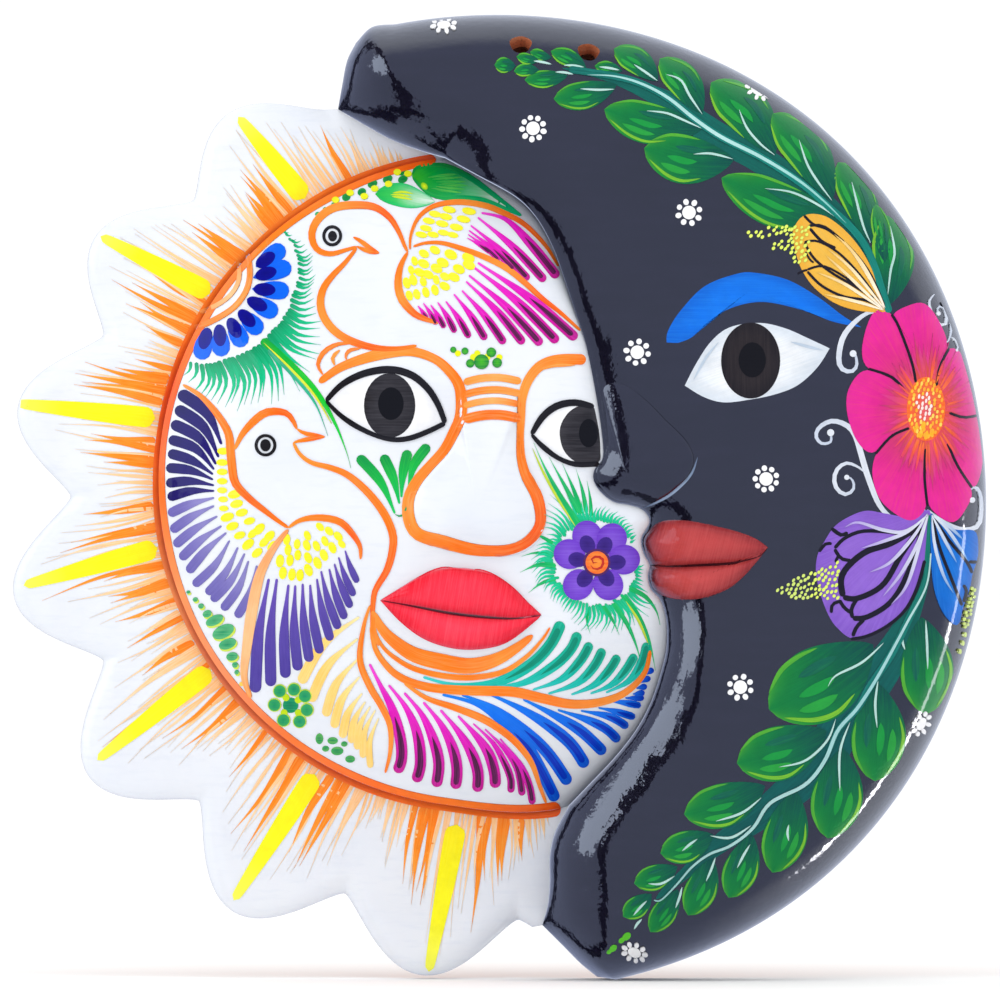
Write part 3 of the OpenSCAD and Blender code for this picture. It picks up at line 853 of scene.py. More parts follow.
class Coat:
    """The strokes of one motif, gathered into one piece."""

    def __init__(self, name, slot, level=0):
        self.name, self.slot, self.level = name, slot, level
        self.flat, self.up, self.faces = [], [], []
        self.tint, self.under, self.along = [], [], []
        self.count = self.strokes = 0

    def keep(self, pts, faces, tint, under, thin, marks, level):
        """Takes in one stroke: pts on top, the same again sunk in the clay, and all the faces between."""
        n = len(pts)
        lift = COAT_MM + LEVEL_MM * (self.level + level) + ORDER_MM * (self.strokes % 10)
        self.strokes += 1
        self.flat += [pts, pts]
        self.up += [np.full(n, lift), np.full(n, -SUNK_MM)]
        self.faces += [tuple(int(i) + self.count for i in f) for f in faces]
        rgba = np.column_stack([tint, np.full(n, thin)])
        self.tint += [rgba, rgba]
        low = np.column_stack([np.broadcast_to(under, (n, 3)), np.ones(n)])
        self.under += [low, low]
        self.along += [marks, marks]
        self.count += 2 * n

    def lay(self, pts, faces, ring, tint, under, thin, along, level):
        """A stroke of any shape. ring runs round the edge of its faces."""
        n = len(pts)
        if sum(spin(pts, f) for f in faces[::1 + len(faces) // 40]) < 0:
            faces = [tuple(f)[::-1] for f in faces]
        if spin(pts, ring) < 0:
            ring = ring[::-1]
        below = [tuple(i + n for i in f[::-1]) for f in faces]
        marks = np.column_stack([along, np.full(n, 3.7 * (self.strokes + 1))])
        self.keep(pts, [*faces, *below, *band(ring, ring + n)[:, ::-1]], tint, under, thin, marks, level)

    def brush(self, pts, width, colour, kind="line", under=None, thin=0.4, sides=None, level=0, steps=8,
            widths=None, lanes=None):
        """One stroke along pts. lanes are the places across it, 0 to 1, of its rows of points."""
        line = spline(pts, steps)
        run = length(line)
        n = max(7, int(run / 1.25))
        u = crowded(n) if kind in ("line", "feather", "thorn", "petal", "swell") else even(n)
        mid = sample(line, u)
        step = np.gradient(sample(line, np.clip(np.column_stack([u - 0.004, u + 0.004]), 0, 1).ravel())
            .reshape(-1, 2, 2), axis=1)[:, 0]
        side = np.column_stack([-step[:, 1], step[:, 0]])
        side /= np.maximum(np.hypot(*side.T), 1e-9)[:, None]
        w = np.maximum(shape_of(kind, u, run, width) * width, 0.06)
        if widths is not None:
            w = np.maximum(w * np.interp(u, np.linspace(0, 1, len(widths)), widths), 0.06)
        v = even(1 if width < 1.1 else 2 if width < 3.0 else int(math.ceil(width / 1.5)))
        if lanes is not None:
            v = np.asarray(lanes, float)
        m = len(v) - 1
        grid_pts = mid[:, None] + side[:, None] * (w[:, None] * (v[None] - 0.5))[..., None]
        uu, vv = np.repeat(u, m + 1), np.tile(v, n + 1)
        tint = blend_of(colour, uu)
        if sides is not None:
            tint = lerp(tint, blend_of(sides, uu), (np.abs(vv - 0.5) * 2)[:, None] ** 2)
        along = np.column_stack([uu * run, (vv - 0.5) * np.repeat(w, m + 1)])
        self.lay(grid_pts.reshape(-1, 2), grid_faces(n, m), edge_loop(n, m), tint,
            srgb(*(under or self.paler(colour))), thin, along, level)

    @staticmethod
    def paler(colour):
        one = colour if not isinstance(colour[0], (tuple, list)) else colour[len(colour) // 2]
        return tuple(lerp(c, 255, 0.28) for c in one)

    def fill(self, outline, colour, centre=None, rim=None, under=None, thin=0.3, level=0, closed=True,
            grain=0, fan=None):
        """A filled shape that its centre can see all of. rim is its colour at the outline.
        grain is the bearing of the bristles. With fan, a point, they and the colours run out from it."""
        line = spline(outline, 8, True) if closed else np.asarray(outline, float)
        run = length(np.vstack([line, line[:1]]))
        n = max(14, int(run / 1.2))
        line = sample(np.vstack([line, line[:1]]), even(n))[:-1]
        c = line.mean(0) if centre is None else np.asarray(centre, float)
        far = np.hypot(*(line - c).T).max()
        m = max(2, int(far / 1.4))
        shares = even(m)[1:]
        pts = disc_grid(c, line, shares)
        share = np.concatenate([[0], np.repeat(shares, n)])
        ring = 1 + (m - 1) * n + np.arange(n)
        if fan is not None:
            off = pts - np.asarray(fan, float)
            r = np.hypot(*off.T)
            tint = blend_of(colour, r / r.max())
            along = np.column_stack([r, np.arctan2(off[:, 1], off[:, 0]) * r.max() * 0.6])
        else:
            tint = blend_of(colour, share)
            turn = math.radians(grain)
            along = np.column_stack([pts[:, 0] * math.cos(turn) + pts[:, 1] * math.sin(turn),
                -pts[:, 0] * math.sin(turn) + pts[:, 1] * math.cos(turn)])
        if rim is not None:
            tint = lerp(tint, blend_of(rim, share), smooth((share - 0.55) / 0.45)[:, None])
        self.lay(pts, disc_faces(n, m), ring, tint, srgb(*(under or self.paler(colour))), thin, along,
            level)

    def dot(self, c, r, colour, rz=None, turn=0.0, level=0, rim=None, thin=0.2, under=None):
        n = 12 if r < 1.3 else 18 if r < 3 else 32
        m = 2 if r < 2 else max(3, int(r / 1.4))
        a = np.linspace(0, 2 * np.pi, n, endpoint=False)
        t = math.radians(turn)
        x, z = r * np.cos(a), (rz or r) * np.sin(a)
        line = np.column_stack([c[0] + x * math.cos(t) - z * math.sin(t),
            c[1] + x * math.sin(t) + z * math.cos(t)])
        shares = even(m)[1:]
        pts = disc_grid(c, line, shares)
        share = np.concatenate([[0], np.repeat(shares, n)])
        tint = blend_of(colour if rim is None else [colour, rim], share)
        self.lay(pts, disc_faces(n, m), 1 + (m - 1) * n + np.arange(n), tint,
            srgb(*(under or self.paler(colour))), thin, pts.copy(), level)

    def ring(self, c, r, width, colour, rz):
        a = np.linspace(0, 2 * np.pi, 40, endpoint=False)
        outer = np.column_stack([c[0] + (r + width / 2) * np.cos(a), c[1] + (rz + width / 2) * np.sin(a)])
        inner = np.column_stack([c[0] + (r - width / 2) * np.cos(a), c[1] + (rz - width / 2) * np.sin(a)])
        n = len(a)
        pts = np.vstack([inner, outer])
        k = np.arange(n)
        low = 2 * n
        faces = band(k + n, k)
        faces = np.vstack([faces, faces[:, ::-1] + low, band(k, k + low), band(k + n + low, k + n)])
        self.keep(pts, faces, blend_of(colour, np.zeros(low)), srgb(*self.paler(colour)), 0.2,
            np.column_stack([pts, np.full(low, 1.0)]), 0)

    def dry(self):
        """Makes the piece."""
        flat, up = np.vstack(self.flat), np.concatenate(self.up)
        if self.slot == "moon_paint":                 # no brush goes over the moon's edge
            away = flat - MOON_C
            r = np.hypot(*away.T)
            most = MOON_REACH / np.maximum(r, MOON_REACH)
            flat = MOON_C + away * most[:, None]
        place, facing = skin.drop(flat)
        obj = new_object(self.name, place + facing * up[:, None] * MM, self.faces)
        mesh = obj.data
        mesh.shade_smooth()
        for key, rows in (("pigment", self.tint), ("underlay", self.under)):
            layer = mesh.attributes.new(key, "FLOAT_COLOR", "POINT")
            layer.data.foreach_set("color", np.vstack(rows).astype(np.float32).ravel())
        mark = mesh.attributes.new("stroke", "FLOAT_VECTOR", "POINT")
        mark.data.foreach_set("vector", np.vstack(self.along).astype(np.float32).ravel())
        mesh.materials.append(PAINT)
        mesh.normals_split_custom_set_from_vertices([tuple(v) for v in facing])
        obj.visible_glossy = self.slot.startswith("moon")

# ---------------------------------------------------------------- the sun's painting

ORANGE, RED_ORANGE, SALMON, PEACH = (255, 118, 0), (252, 84, 6), (255, 146, 46), (255, 190, 132)
INK, IRIS, CHARCOAL, NAVY = (24, 22, 26), (52, 50, 54), (62, 26, 52), (0, 46, 190)
MAGENTA, ROSE, RED, TEAL = (226, 0, 190), (244, 70, 214), (246, 36, 60), (0, 190, 176)
WASH_R = 101.6                     # from the sun's centre: where the strokes between the rays begin

# the orange line round the face, and the rays painted outside it
edge_line = Coat("sun_circle_line", "sun_paint", 2)


def round_face(r, start):
    """Points along the face's edge, r from the sun's centre."""
    a = np.arange(start, 284.2, 1.5)
    r = r + face_radius(a) - SUN_R
    a = np.radians(a)
    return SUN_C + r[:, None] * np.column_stack([np.cos(a), np.sin(a)])


turns = [RED_ORANGE, ORANGE, (255, 128, 30), ORANGE, RED_ORANGE, (255, 110, 20), (255, 150, 92),
    (255, 146, 100), (255, 124, 60), (255, 110, 30), ORANGE, RED_ORANGE]
# the two lanes at the middle follow the step from the face's edge down to the flange
edge_line.brush(round_face(SUN_R, 98.6), 4.3, turns, under=(255, 146, 60), thin=0.4, steps=2,
    widths=[0.8, 1.0, 0.85, 1.0, 0.85, 1.05, 0.9, 1.0, 1.05, 1.0, 1.1], lanes=(0, 0.15, 0.3, 0.42, 0.47,
    0.53, 0.58, 0.7, 0.85, 1))
edge_line.dry()

RAYS = [((-59.7, 92.2), (-80.8, 118)), ((-89.1, 62.8), (-123.8, 80.8)), ((-106.2, 24), (-150.0, 28.7)),
    ((-105.6, -16.3), (-147.8, -28.1)), ((-89.1, -54.1), (-124.8, -82.6)), ((-56.6, -86.6),
    (-82.3, -126.3)), ((-12.6, -102.1), (-21.5, -148.6))]
ray_coat = Coat("yellow_rays", "sun_paint", 1)
wash = Coat("orange_ray_strokes", "sun_paint", 0)
bearings = []
for base, tip in RAYS:
    base, tip = np.array(base), np.array(tip)
    tip = base + (tip - base) * 0.985                 # the paint stops short of the ray's end
    ray_coat.brush([base, lerp(base, tip, 0.5), tip], 6.4, [(255, 236, 0), (255, 246, 0), (255, 250, 20),
        (250, 252, 90)], "ray", under=(255, 252, 60), thin=0.35, steps=24)
    bearings.append(bearing(base - SUN_C) % 360)
ray_coat.dry()


def left_of_seam(p):
    """Whether a point is on the sun's side."""
    if p[1] > seam[0, 1]:
        return False
    return p[0] < np.interp(-p[1], -seam[:, 1], seam[:, 0]) - 0.5


FIRST, LAST = 99, 281              # bearings of the two ends of the rays' skirt
stops = [96.0] + bearings + [284.0]
for k, (base, tip) in enumerate(RAYS):
    axis = np.array(tip) - np.array(base)
    heading = bearing(axis) % 360
    long_ray = float(np.hypot(*axis))
    a = (stops[k] + stops[k + 1]) / 2 if k else FIRST
    right = (stops[k + 1] + stops[k + 2]) / 2 if k < len(RAYS) - 1 else LAST
    while a < right:
        away = abs(a - bearings[k]) / 13.0
        grow = max(0.0, 1 - away) ** 0.8
        far = (11 + 0.70 * long_ray * grow) * rng.uniform(0.55, 1.12)
        lean = lerp(a, heading, 0.55 * grow + 0.15) + rng.uniform(-2.5, 2.5)
        start = SUN_C + aim(a) * (WASH_R + rng.uniform(0, 1.5) + 3.1 * float(smooth((a - 262) / 22)))
        go = aim(lean)
        most = ray_radius(min(max(a, 113), 276)) - WASH_R - 5
        far = min(far, most * 0.97)
        bend = crosswise(go) * far * rng.uniform(-0.05, 0.05)
        beside = 2.6 < abs(a - bearings[k]) < 8.5
        strong = rng.random() < (0.36 if beside else 0.07)
        colour = [(255, 122, 0), (255, 136, 4), (255, 166, 60)] if strong else [(255, 186, 112),
            (255, 202, 140), (255, 224, 186)]
        stop = start + go * far
        while far > 2 and (to_line(np.array([stop, start]), seam).min() < 2.2 or not left_of_seam(stop)):
            far -= 1
            stop = start + go * far
        if far <= 2 or not left_of_seam(start):
            a += 1.1
            continue
        wash.brush([start, start + go * far * 0.5 + bend, start + go * far],
            rng.uniform(1.6, 2.9) if strong else rng.uniform(0.6, 1.5), colour, "thorn",
            under=(255, 176, 76) if strong else (255, 234, 208), thin=0.75)
        a += rng.uniform(0.55, 0.95)
wash.dry()

# brows, nose line and the bars across the bridge
brow = Coat("sun_brow_and_nose_lines", "sun_paint", 2)
brow.brush([(-55, 34.9), (-48.7, 39.3), (-41.1, 42.2), (-34.2, 43.8), (-26.6, 44.4), (-19.6, 42.2),
    (-15.2, 38.7), (-12, 34.3), (-11.1, 29.2), (-11.4, 24.2), (-13.3, 19.7), (-16.4, 14), (-20.9, 9),
    (-24.7, 4.5), (-27.2, -0.5), (-27.5, -5.6), (-26.2, -10), (-23.4, -12.5), (-17.1, -14.1), (-10.7, -16),
    (-4.4, -17), (3.2, -16.7), (8.9, -14.4), (12.7, -10), (13.3, -5.6), (12, 0.1), (8.9, 5.8), (7.3, 11.5),
    (7, 17.8), (7.3, 24.2), (7.6, 29.8), (9.5, 35.5), (13.3, 40), (19, 41.9), (27.2, 41.9)], 3.3,
    [ORANGE, SALMON, ORANGE, ORANGE, SALMON, ORANGE, RED_ORANGE, ORANGE, SALMON, ORANGE],
    under=(255, 170, 96), thin=0.6, widths=[0.6, 1, 0.8, 1.1, 0.9, 1.15, 1.2, 0.9, 1.1, 0.7, 0.9, 1.0])
for z, width, colour in ((35.5, 2.3, [SALMON, (255, 166, 80), SALMON]), (31.7, 2.3,
        [ORANGE, SALMON, SALMON]), (28.3, 2.0, [SALMON, (255, 170, 90), ORANGE]),
        (24.0, 3.0, [ORANGE, (255, 104, 0), ORANGE])):
    brow.brush([(-10.4, z - 0.7), (-5, z + 0.6), (1, z + 0.8), (7.3, z - 0.4)], width, colour, "line",
        under=PEACH, thin=0.5)
brow.brush([(-53.8, 37.2), (-55.4, 40.4), (-53.6, 44.2), (-49.6, 46.6), (-45.4, 46.9)], 1.5, ORANGE,
    "swell", under=PEACH, thin=0.5)
brow.brush([(-50.2, 40.1), (-50.8, 42.6), (-48.6, 44.9)], 1.2, SALMON, "swell", under=PEACH, thin=0.5)
brow.brush([(-46.5, 41.6), (-46.8, 43.2), (-45.4, 44.8), (-42, 45.4)], 1.1, ORANGE, "hair", under=PEACH,
    thin=0.5)
brow.brush([(13.2, 38.6), (17.5, 40.1), (24, 40.2)], 1.2, SALMON, "hair", under=PEACH, thin=0.5)
brow.dry()

# eyes
for name, upper, lower, iris, rx, rz, tail in (
        ("sun_left_eye", [(-52.8, 29.2), (-48.1, 34), (-41.4, 37.4), (-33.5, 38.7), (-26.6, 37.1),
            (-21.5, 33), (-18.3, 28), (-16.1, 22.3)], [(-52.8, 29.2), (-48.1, 24.5), (-41.7, 20.4),
            (-34.2, 17.5), (-27.8, 17.5), (-21.5, 19.7), (-16.1, 22.3)], (-33.2, 27.7), 7.9, 9.9, 1),
        ("sun_right_eye", [(10.5, 18.8), (13.9, 24.2), (18.4, 27.6), (24.1, 28.6), (29.6, 27.3)],
            [(10.5, 18.8), (13.6, 15.4), (18.6, 11.6), (24.2, 9.6), (31.2, 9.9)], (26.6, 19.1), 7.2, 9.0,
            0)):
    eye = Coat(name, "sun_paint", 1)
    up, low = spline(upper, 10), spline(lower, 10)
    eye.fill(np.vstack([up, low[::-1][1:-1]]), (249, 249, 250), rim=(232, 234, 240), closed=False,
        thin=0.15, under=(225, 228, 236))
    if tail:
        eye.dot(iris, rx, IRIS, rz, level=1, rim=(36, 34, 38), thin=0.35, under=(92, 90, 98))
        eye.dot((iris[0] + 0.4, iris[1] + 0.6), 3.9, (12, 11, 14), 5.0, level=2, thin=0.1,
            under=(30, 30, 34))
    else:
        cut = [(26.9, 28.1), (22.6, 26.2), (19.8, 22.4), (19.2, 18.6), (20.4, 14), (23.4, 10.8),
            (26.8, 9.8), (31.2, 10.4), (31.6, 14), (31.3, 19), (30.4, 24), (29.4, 27.6)]
        eye.fill(cut, (36, 34, 38), centre=(26.8, 19), rim=IRIS, level=1, thin=0.35, under=(92, 90, 98))
        eye.dot((28, 19.2), 2.9, (12, 11, 14), 4.4, level=2, thin=0.1, under=(30, 30, 34))
    eye.brush(upper, 2.0, INK, "line", level=3, thin=0.25, under=(60, 58, 64), widths=[0.7, 1, 1.1, 1.1, 1,
        0.8])
    eye.brush(lower, 1.7, INK, "line", level=3, thin=0.25, under=(60, 58, 64), widths=[0.6, 1, 0.8, 1, 0.9])
    eye.dry()

# lips: the colour is brushed on from the parting outwards
lips = Coat("sun_lip_colour", "sun_lip_paint", 0)
mouth = spline(SUN_MOUTH, 10)
upper_lip = spline([(13.6, -37.2), (9, -32.4), (4.6, -28), (-1, -24.2), (-6, -22.6), (-9, -23.4),
    (-12.6, -22.4), (-17, -22.0), (-22.5, -24), (-30.2, -28.6), (-36, -32.2)], 8)
lower_lip = spline([(13.6, -37.2), (4, -44.8), (-4, -47.3), (-13.2, -47.3), (-22.5, -44.4), (-30.2, -38.8),
    (-36, -32.2)], 8)
lips.fill(np.vstack([mouth, upper_lip[1:-1]]), [(252, 52, 76), RED], centre=(-10, -30.5), rim=(236, 20, 44),
    closed=False, thin=0.45, under=(255, 96, 112), grain=80)
lips.fill(np.vstack([mouth, lower_lip[1:-1]]), [(254, 60, 84), RED], centre=(-10, -41.2), rim=(240, 26, 52),
    closed=False, thin=0.45, under=(255, 100, 116), grain=80)
lips.brush([(-36, -32.3), (-24, -34.6), (-14.5, -36.4), (-4, -37.6), (5.5, -38), (13.6, -37)], 0.9,
    [(120, 10, 34), (90, 6, 26), (120, 10, 34)], "hair", level=1, thin=0.2, under=(180, 30, 50))
lips.dry()

# green sprig on the cheek, and the dots below the upper dove
sprig = Coat("cheek_sprig", "sun_paint", 1)
for base, tip, bend in (((-31.6, -5.6), (-43, 12.1), 1.6), ((-30.2, -2.6), (-35.4, 12.5), 0.8),
        ((-29.6, -0.6), (-27.5, 14), -0.6), ((-27.4, 1.8), (-21.2, 15.6), -1.6)):
    base, tip = np.array(base), np.array(tip)
    go = tip - base
    side = crosswise(go) / np.hypot(*go)
    sprig.brush([base, lerp(base, tip, 0.5) - side * bend, tip], 3.2, [(0, 196, 100), (0, 178, 70),
        (0, 140, 70)], "feather", under=(60, 210, 60), thin=0.5)
sprig.brush([(-31.6, -5.8), (-29.4, -6.4), (-27.9, -3.6), (-26.8, 0.4)], 0.9, (20, 150, 80), "hair")
for x, z, r in ((-13.6, 44.9, 0.95), (-10, 44.5, 1.1), (-4.9, 41.2, 2.3), (-1.9, 44.1, 1.5),
        (-0.1, 40.9, 1.5), (-8.4, 40.7, 1.3)):
    sprig.dot((x, z), r, (60, 180, 30), level=1, rim=(0, 122, 60), thin=0.5, under=(120, 210, 60))
for x, z, r in ((-12.2, 43.8, 0.8), (-7.4, 42.6, 0.9), (-3.2, 42.6, 0.9), (-6.2, 43.8, 0.8),
        (0.6, 42.6, 0.8)):
    sprig.dot((x, z), r * 1.2, (232, 240, 0), thin=0.3, under=(244, 248, 100))
sprig.dry()

# purple cheek flower with its fringe and long blades
flower = Coat("purple_cheek_flower", "sun_paint", 2)
centre = np.array([30.3, -20.9])
for dx, dz in ((-2.6, 8.3), (4.9, 7.5), (8.7, 1.1), (3.8, -6.6), (-5.4, -6.6), (-8.1, 2.8)):
    flower.dot(centre + (dx, dz), 4.9, (128, 84, 214), 4.6, bearing((dx, dz)), rim=(104, 50, 196), thin=0.4,
        under=(150, 116, 226))
for dx, dz in ((-2.6, 5.8), (2.7, 5.3), (6.3, 0.3), (3.2, -4.4), (-3.4, -4.7), (-5.6, 1.1)):
    flower.dot(centre + (dx, dz), 2.9, (46, 20, 110), 2.3, bearing((dx, dz)), level=1, rim=(60, 34, 136),
        thin=0.3, under=(84, 56, 170))
flower.dot(centre + (0.3, 0.2), 4.2, (60, 22, 60), level=2, rim=(84, 34, 96), thin=0.2)
flower.dot(centre + (0.3, 0.2), 3.5, (255, 150, 50), level=3, rim=(240, 92, 30), thin=0.5,
    under=(255, 190, 90))
flower.brush([centre + p for p in ((-1.6, -0.6), (-0.4, -1.9), (1.7, -1.2), (2.2, 1), (0.4, 2.1),
    (-1.3, 1.3), (-0.8, 0.1), (0.5, 0.3))], 0.8, (190, 40, 30), "hair", level=4, thin=0.2)
flower.dry()

fringe = Coat("cheek_flower_fringe", "sun_paint", 0)


def inside(p):
    return to_line(np.array([p]), seam)[0] > 1.5 and left_of_seam(p)


# how long the hairs are round the flower, and how far their tips turn, by bearing from its centre
LONG_AT = ((-180, 8), (-150, 6), (-130, 4), (-110, 6), (-90, 9.5), (-60, 10.5), (-40, 9.5), (-20, 4.5),
    (0, 2.5), (20, 2.5), (60, 4), (90, 5), (105, 8), (120, 12), (135, 9), (150, 5), (180, 8))
CURL_AT = ((-180, 40), (-140, 30), (-110, -20), (-90, -38), (-60, -32), (-45, 15), (-20, 40), (0, 30),
    (30, -10), (60, -38), (90, -25), (120, 15), (150, 30), (180, 40))


def at(table, x):
    """The value of a table of pairs at x."""
    return float(np.interp(x, *zip(*table)))


def hair(start, heading, curl, far):
    """Three points of a hair whose outer half turns by curl degrees."""
    mid = polar(start, far / 2, heading)
    return [start, mid, polar(mid, far / 2, heading + curl)]


for a in np.arange(-180, 180, 4.3):
    start = polar(centre, rng.uniform(12.0, 13.4), a)
    far = at(LONG_AT, a) * rng.uniform(0.85, 1.12)
    pts = hair(start, a - at(CURL_AT, a) * 0.3, at(CURL_AT, a) * 1.3, far)
    while far > 1.4 and not inside(pts[2]):
        far -= 0.7
        pts = hair(start, a, 0, far)
    if far > 1.4 and inside(start):
        fringe.brush(pts, rng.uniform(0.85, 1.25), [(0, 182, 122), (0, 202, 148), (24, 216, 170)], "thorn",
            under=(90, 222, 184), thin=0.3)
for pts, width in (([(25.3, -9.3), (19.6, -0.6), (14.6, 8.6), (11.2, 16.2)], 1.9),
        ([(26.1, -5.6), (23.4, 2), (20, 9.8)], 1.5), ([(25.3, -5.4), (20.4, 3.6), (15.9, 11.8)], 1.6),
        ([(27.5, -5.4), (26.2, 1.6), (24.2, 8.2)], 1.4), ([(28.9, -6.6), (28.6, -1), (27.6, 4.5)], 1.2),
        ([(18.1, -21.7), (12.4, -21.4), (7, -23.7)], 1.7), ([(17.6, -18.6), (12.2, -17.6), (7.4, -18.8)],
        1.2), ([(18.2, -25.6), (13.6, -27), (9.6, -30)], 1.3), ([(17.2, -14.8), (13, -12.4), (9.6, -11.4)],
        1.2), ([(38.6, -30.9), (43.4, -37.4), (46.9, -45.2), (48.8, -54.1)], 2.0),
        ([(40.6, -28.6), (45.6, -31.2), (49, -35.6), (50.2, -40)], 1.5), ([(35.8, -33.2), (40.2, -40),
        (43.2, -47.4), (44.4, -53)], 1.5), ([(32.6, -34), (35.6, -38.6), (37.6, -43)], 1.2),
        ([(28, -34.4), (27.6, -38.8), (28.6, -42.6)], 1.1)):
    fringe.brush(pts, width, [(0, 186, 96), (0, 166, 90), (60, 214, 140)], "thorn", under=(80, 220, 140),
        thin=0.45)
fringe.brush([(24.2, -9.8), (18.6, -1), (13.8, 7.8), (10.8, 14.6)], 0.8, (190, 215, 50), "hair", level=1)
fringe.brush([(39.6, -32.6), (43.6, -38.8), (46.6, -46)], 0.8, (190, 215, 50), "hair", level=1)
fringe.dry()


def cored(coat, pts, width, colours, core, under, thin=0.3):
    """A feather with a darker touch of the brush inside its round end."""
    coat.brush(pts, width, colours, "feather", under=under, thin=thin)
    coat.brush(sample(spline(pts, 8), np.linspace(0.50, 0.955, 5)), width * 0.5, core, "petal",
        under=colours[1], thin=0.3, level=1)


def feathers(coat, bases, tips, width, colours, bend=0.0, under=None, thin=0.3, core=None, last=None):
    """One stroke from each base to its tip, all bowed the same way. last is the width of the last one."""
    first = width
    for k, (base, tip) in enumerate(zip(bases, tips)):
        width = lerp(first, last or first, k / (len(bases) - 1))
        base, tip = np.array(base, float), np.array(tip, float)
        go = tip - base
        pts = [base, lerp(base, tip, 0.5) + crosswise(go) * bend, tip]
        if core is None:
            coat.brush(pts, width, colours, "feather", under=under, thin=thin)
        else:
            cored(coat, pts, width, colours, core, under, thin)


def dabs(coat, places, width, run, heading):
    """Short oval touches of yellow, all lying one way and smaller towards the last."""
    for k, c in enumerate(places):
        size = lerp(1.0, 0.78, k / len(places))
        coat.dot(c, run / 2 * size, (255, 250, 40), width / 2 * size, heading, rim=(255, 244, 0), thin=0.35,
            under=(255, 253, 130))


# the upper dove, which flies to the right behind the brow
dove = Coat("upper_dove_lines", "sun_paint", 2)
for pts, width in (
        ([(-43.5, 76.9), (-47.1, 75.8), (-51.5, 74.7), (-55.4, 75.8), (-57.3, 79.1), (-57, 83),
            (-54.3, 86.8), (-49.8, 89.3), (-43.2, 89.9), (-37.7, 89.1), (-33.2, 85.8), (-30.4, 81.3),
            (-28.8, 77.4), (-27.7, 75.2)], 2.0),
        ([(-44.6, 79.9), (-42.2, 78.6), (-39.6, 76.6), (-36.5, 74.9)], 1.2),
        ([(-43.5, 77), (-41, 75.9), (-38.8, 75.2), (-36.5, 74.9)], 1.1),
        ([(-43.5, 76.5), (-47.1, 71.9), (-50.9, 68), (-53.7, 64.1), (-54.7, 59.7), (-53.7, 55.3),
            (-50.9, 51.4), (-47.1, 48.6), (-41.5, 46.4), (-36, 45.3), (-30.4, 45.3), (-24.9, 46.2)], 2.0),
        ([(-27.7, 75.2), (-29.9, 70.8), (-30.7, 65.8), (-29.9, 61.4), (-27.7, 58.1), (-24.4, 55.3),
            (-18.3, 53.1)], 2.0),
        ([(-26, 76.9), (-22.2, 78), (-17.2, 78), (-11.1, 76.3), (-3.9, 73.6), (2.8, 70.2), (8.3, 65.8),
            (13.8, 60.8), (19.4, 56.4), (25.5, 50.9)], 1.5),
        ([(-27, 76), (-26.8, 80.2), (-24.9, 85.2), (-21.6, 88.5), (-17.2, 90.2), (-11.1, 90.7),
            (-3.9, 89.6), (1.7, 87.4), (7.2, 84.6), (11.6, 80.8), (15.5, 76.3), (18.8, 70.8)], 1.4)):
    dove.brush(pts, width * 1.25, [ORANGE, ORANGE, SALMON, RED_ORANGE, ORANGE], "swell",
        under=(255, 166, 84), thin=0.5)
dove.ring((-51.1, 80.3), 2.6, 0.9, INK, 2.8)
dove.dot((-51, 80.2), 1.35, INK, 1.6)
dove.dry()

wing = Coat("upper_dove_feathers", "sun_paint", 1)
rosy = [ROSE, MAGENTA, (216, 0, 170), (190, 0, 136)]
feathers(wing, [(-6.1, 71.9), (-7.7, 70.8), (-8.8, 68), (-9.7, 66.1), (-11, 63.3), (-13.5, 62.2), (-16, 60),
    (-18.5, 59.7), (-20.7, 58.9), (-22.9, 59.4), (-24.6, 58.6)], [(24.4, 48.3), (18.6, 47.3), (13.6, 46.5),
    (8.1, 46.8), (2.2, 46.8), (-3.6, 48), (-8.6, 48.6), (-13, 50.2), (-16.3, 51.6), (-18.8, 52.7),
    (-21.6, 54.2)], 3.2, rosy, 0.03, under=(244, 100, 222), core=CHARCOAL, last=1.6)
cored(wing, [(-5, 87.4), (2.8, 85.2), (10, 78), (15.5, 71.3), (18.6, 67.3)], 3.0, rosy, CHARCOAL,
    (244, 100, 222))
feathers(wing, [(-6.1, 86), (-8.3, 83.5), (-8.8, 81.9), (-9.1, 80.7), (-9.4, 79.6)],
    [(14.7, 66.2), (9.7, 66.6), (5.6, 69.3), (0.6, 72.6), (-2.2, 74.9)], 2.7, rosy, 0.03,
    under=(244, 100, 222), core=CHARCOAL, last=1.3)
dabs(wing, [(-14.4, 74.4), (-9.0, 73.4), (-8.8, 71.2), (-16.9, 71.9), (-11.9, 69.9), (-18.8, 70.1),
    (-13.4, 67.4), (-22.8, 71.6), (-21.4, 68.2), (-24, 68.9), (-16.3, 64.6), (-19.3, 75.8), (-22.7, 74.7),
    (-16.2, 67.6)], 2.9, 4.2, -28)
dabs(wing, [(-26, 66.5), (-28, 65.6), (-19.3, 63.4), (-22.1, 62.7), (-24.9, 62.1), (-27.2, 61.7),
    (-22.9, 66), (-18.9, 66.6), (-25.6, 72.4), (-26.6, 69.6)], 2.4, 3.6, -72)
dabs(wing, [(-8.8, 87.9), (-10.5, 85.4), (-12.7, 82.9), (-14.9, 88.4), (-16, 86.2), (-17.1, 84),
    (-19.3, 87.0), (-21.2, 84.9), (-22.1, 82.6), (-23.5, 80.6), (-19.9, 80.6), (-16.7, 81.2),
    (-13.8, 80.5)], 2.2, 4.4, -12)
wing.dry()

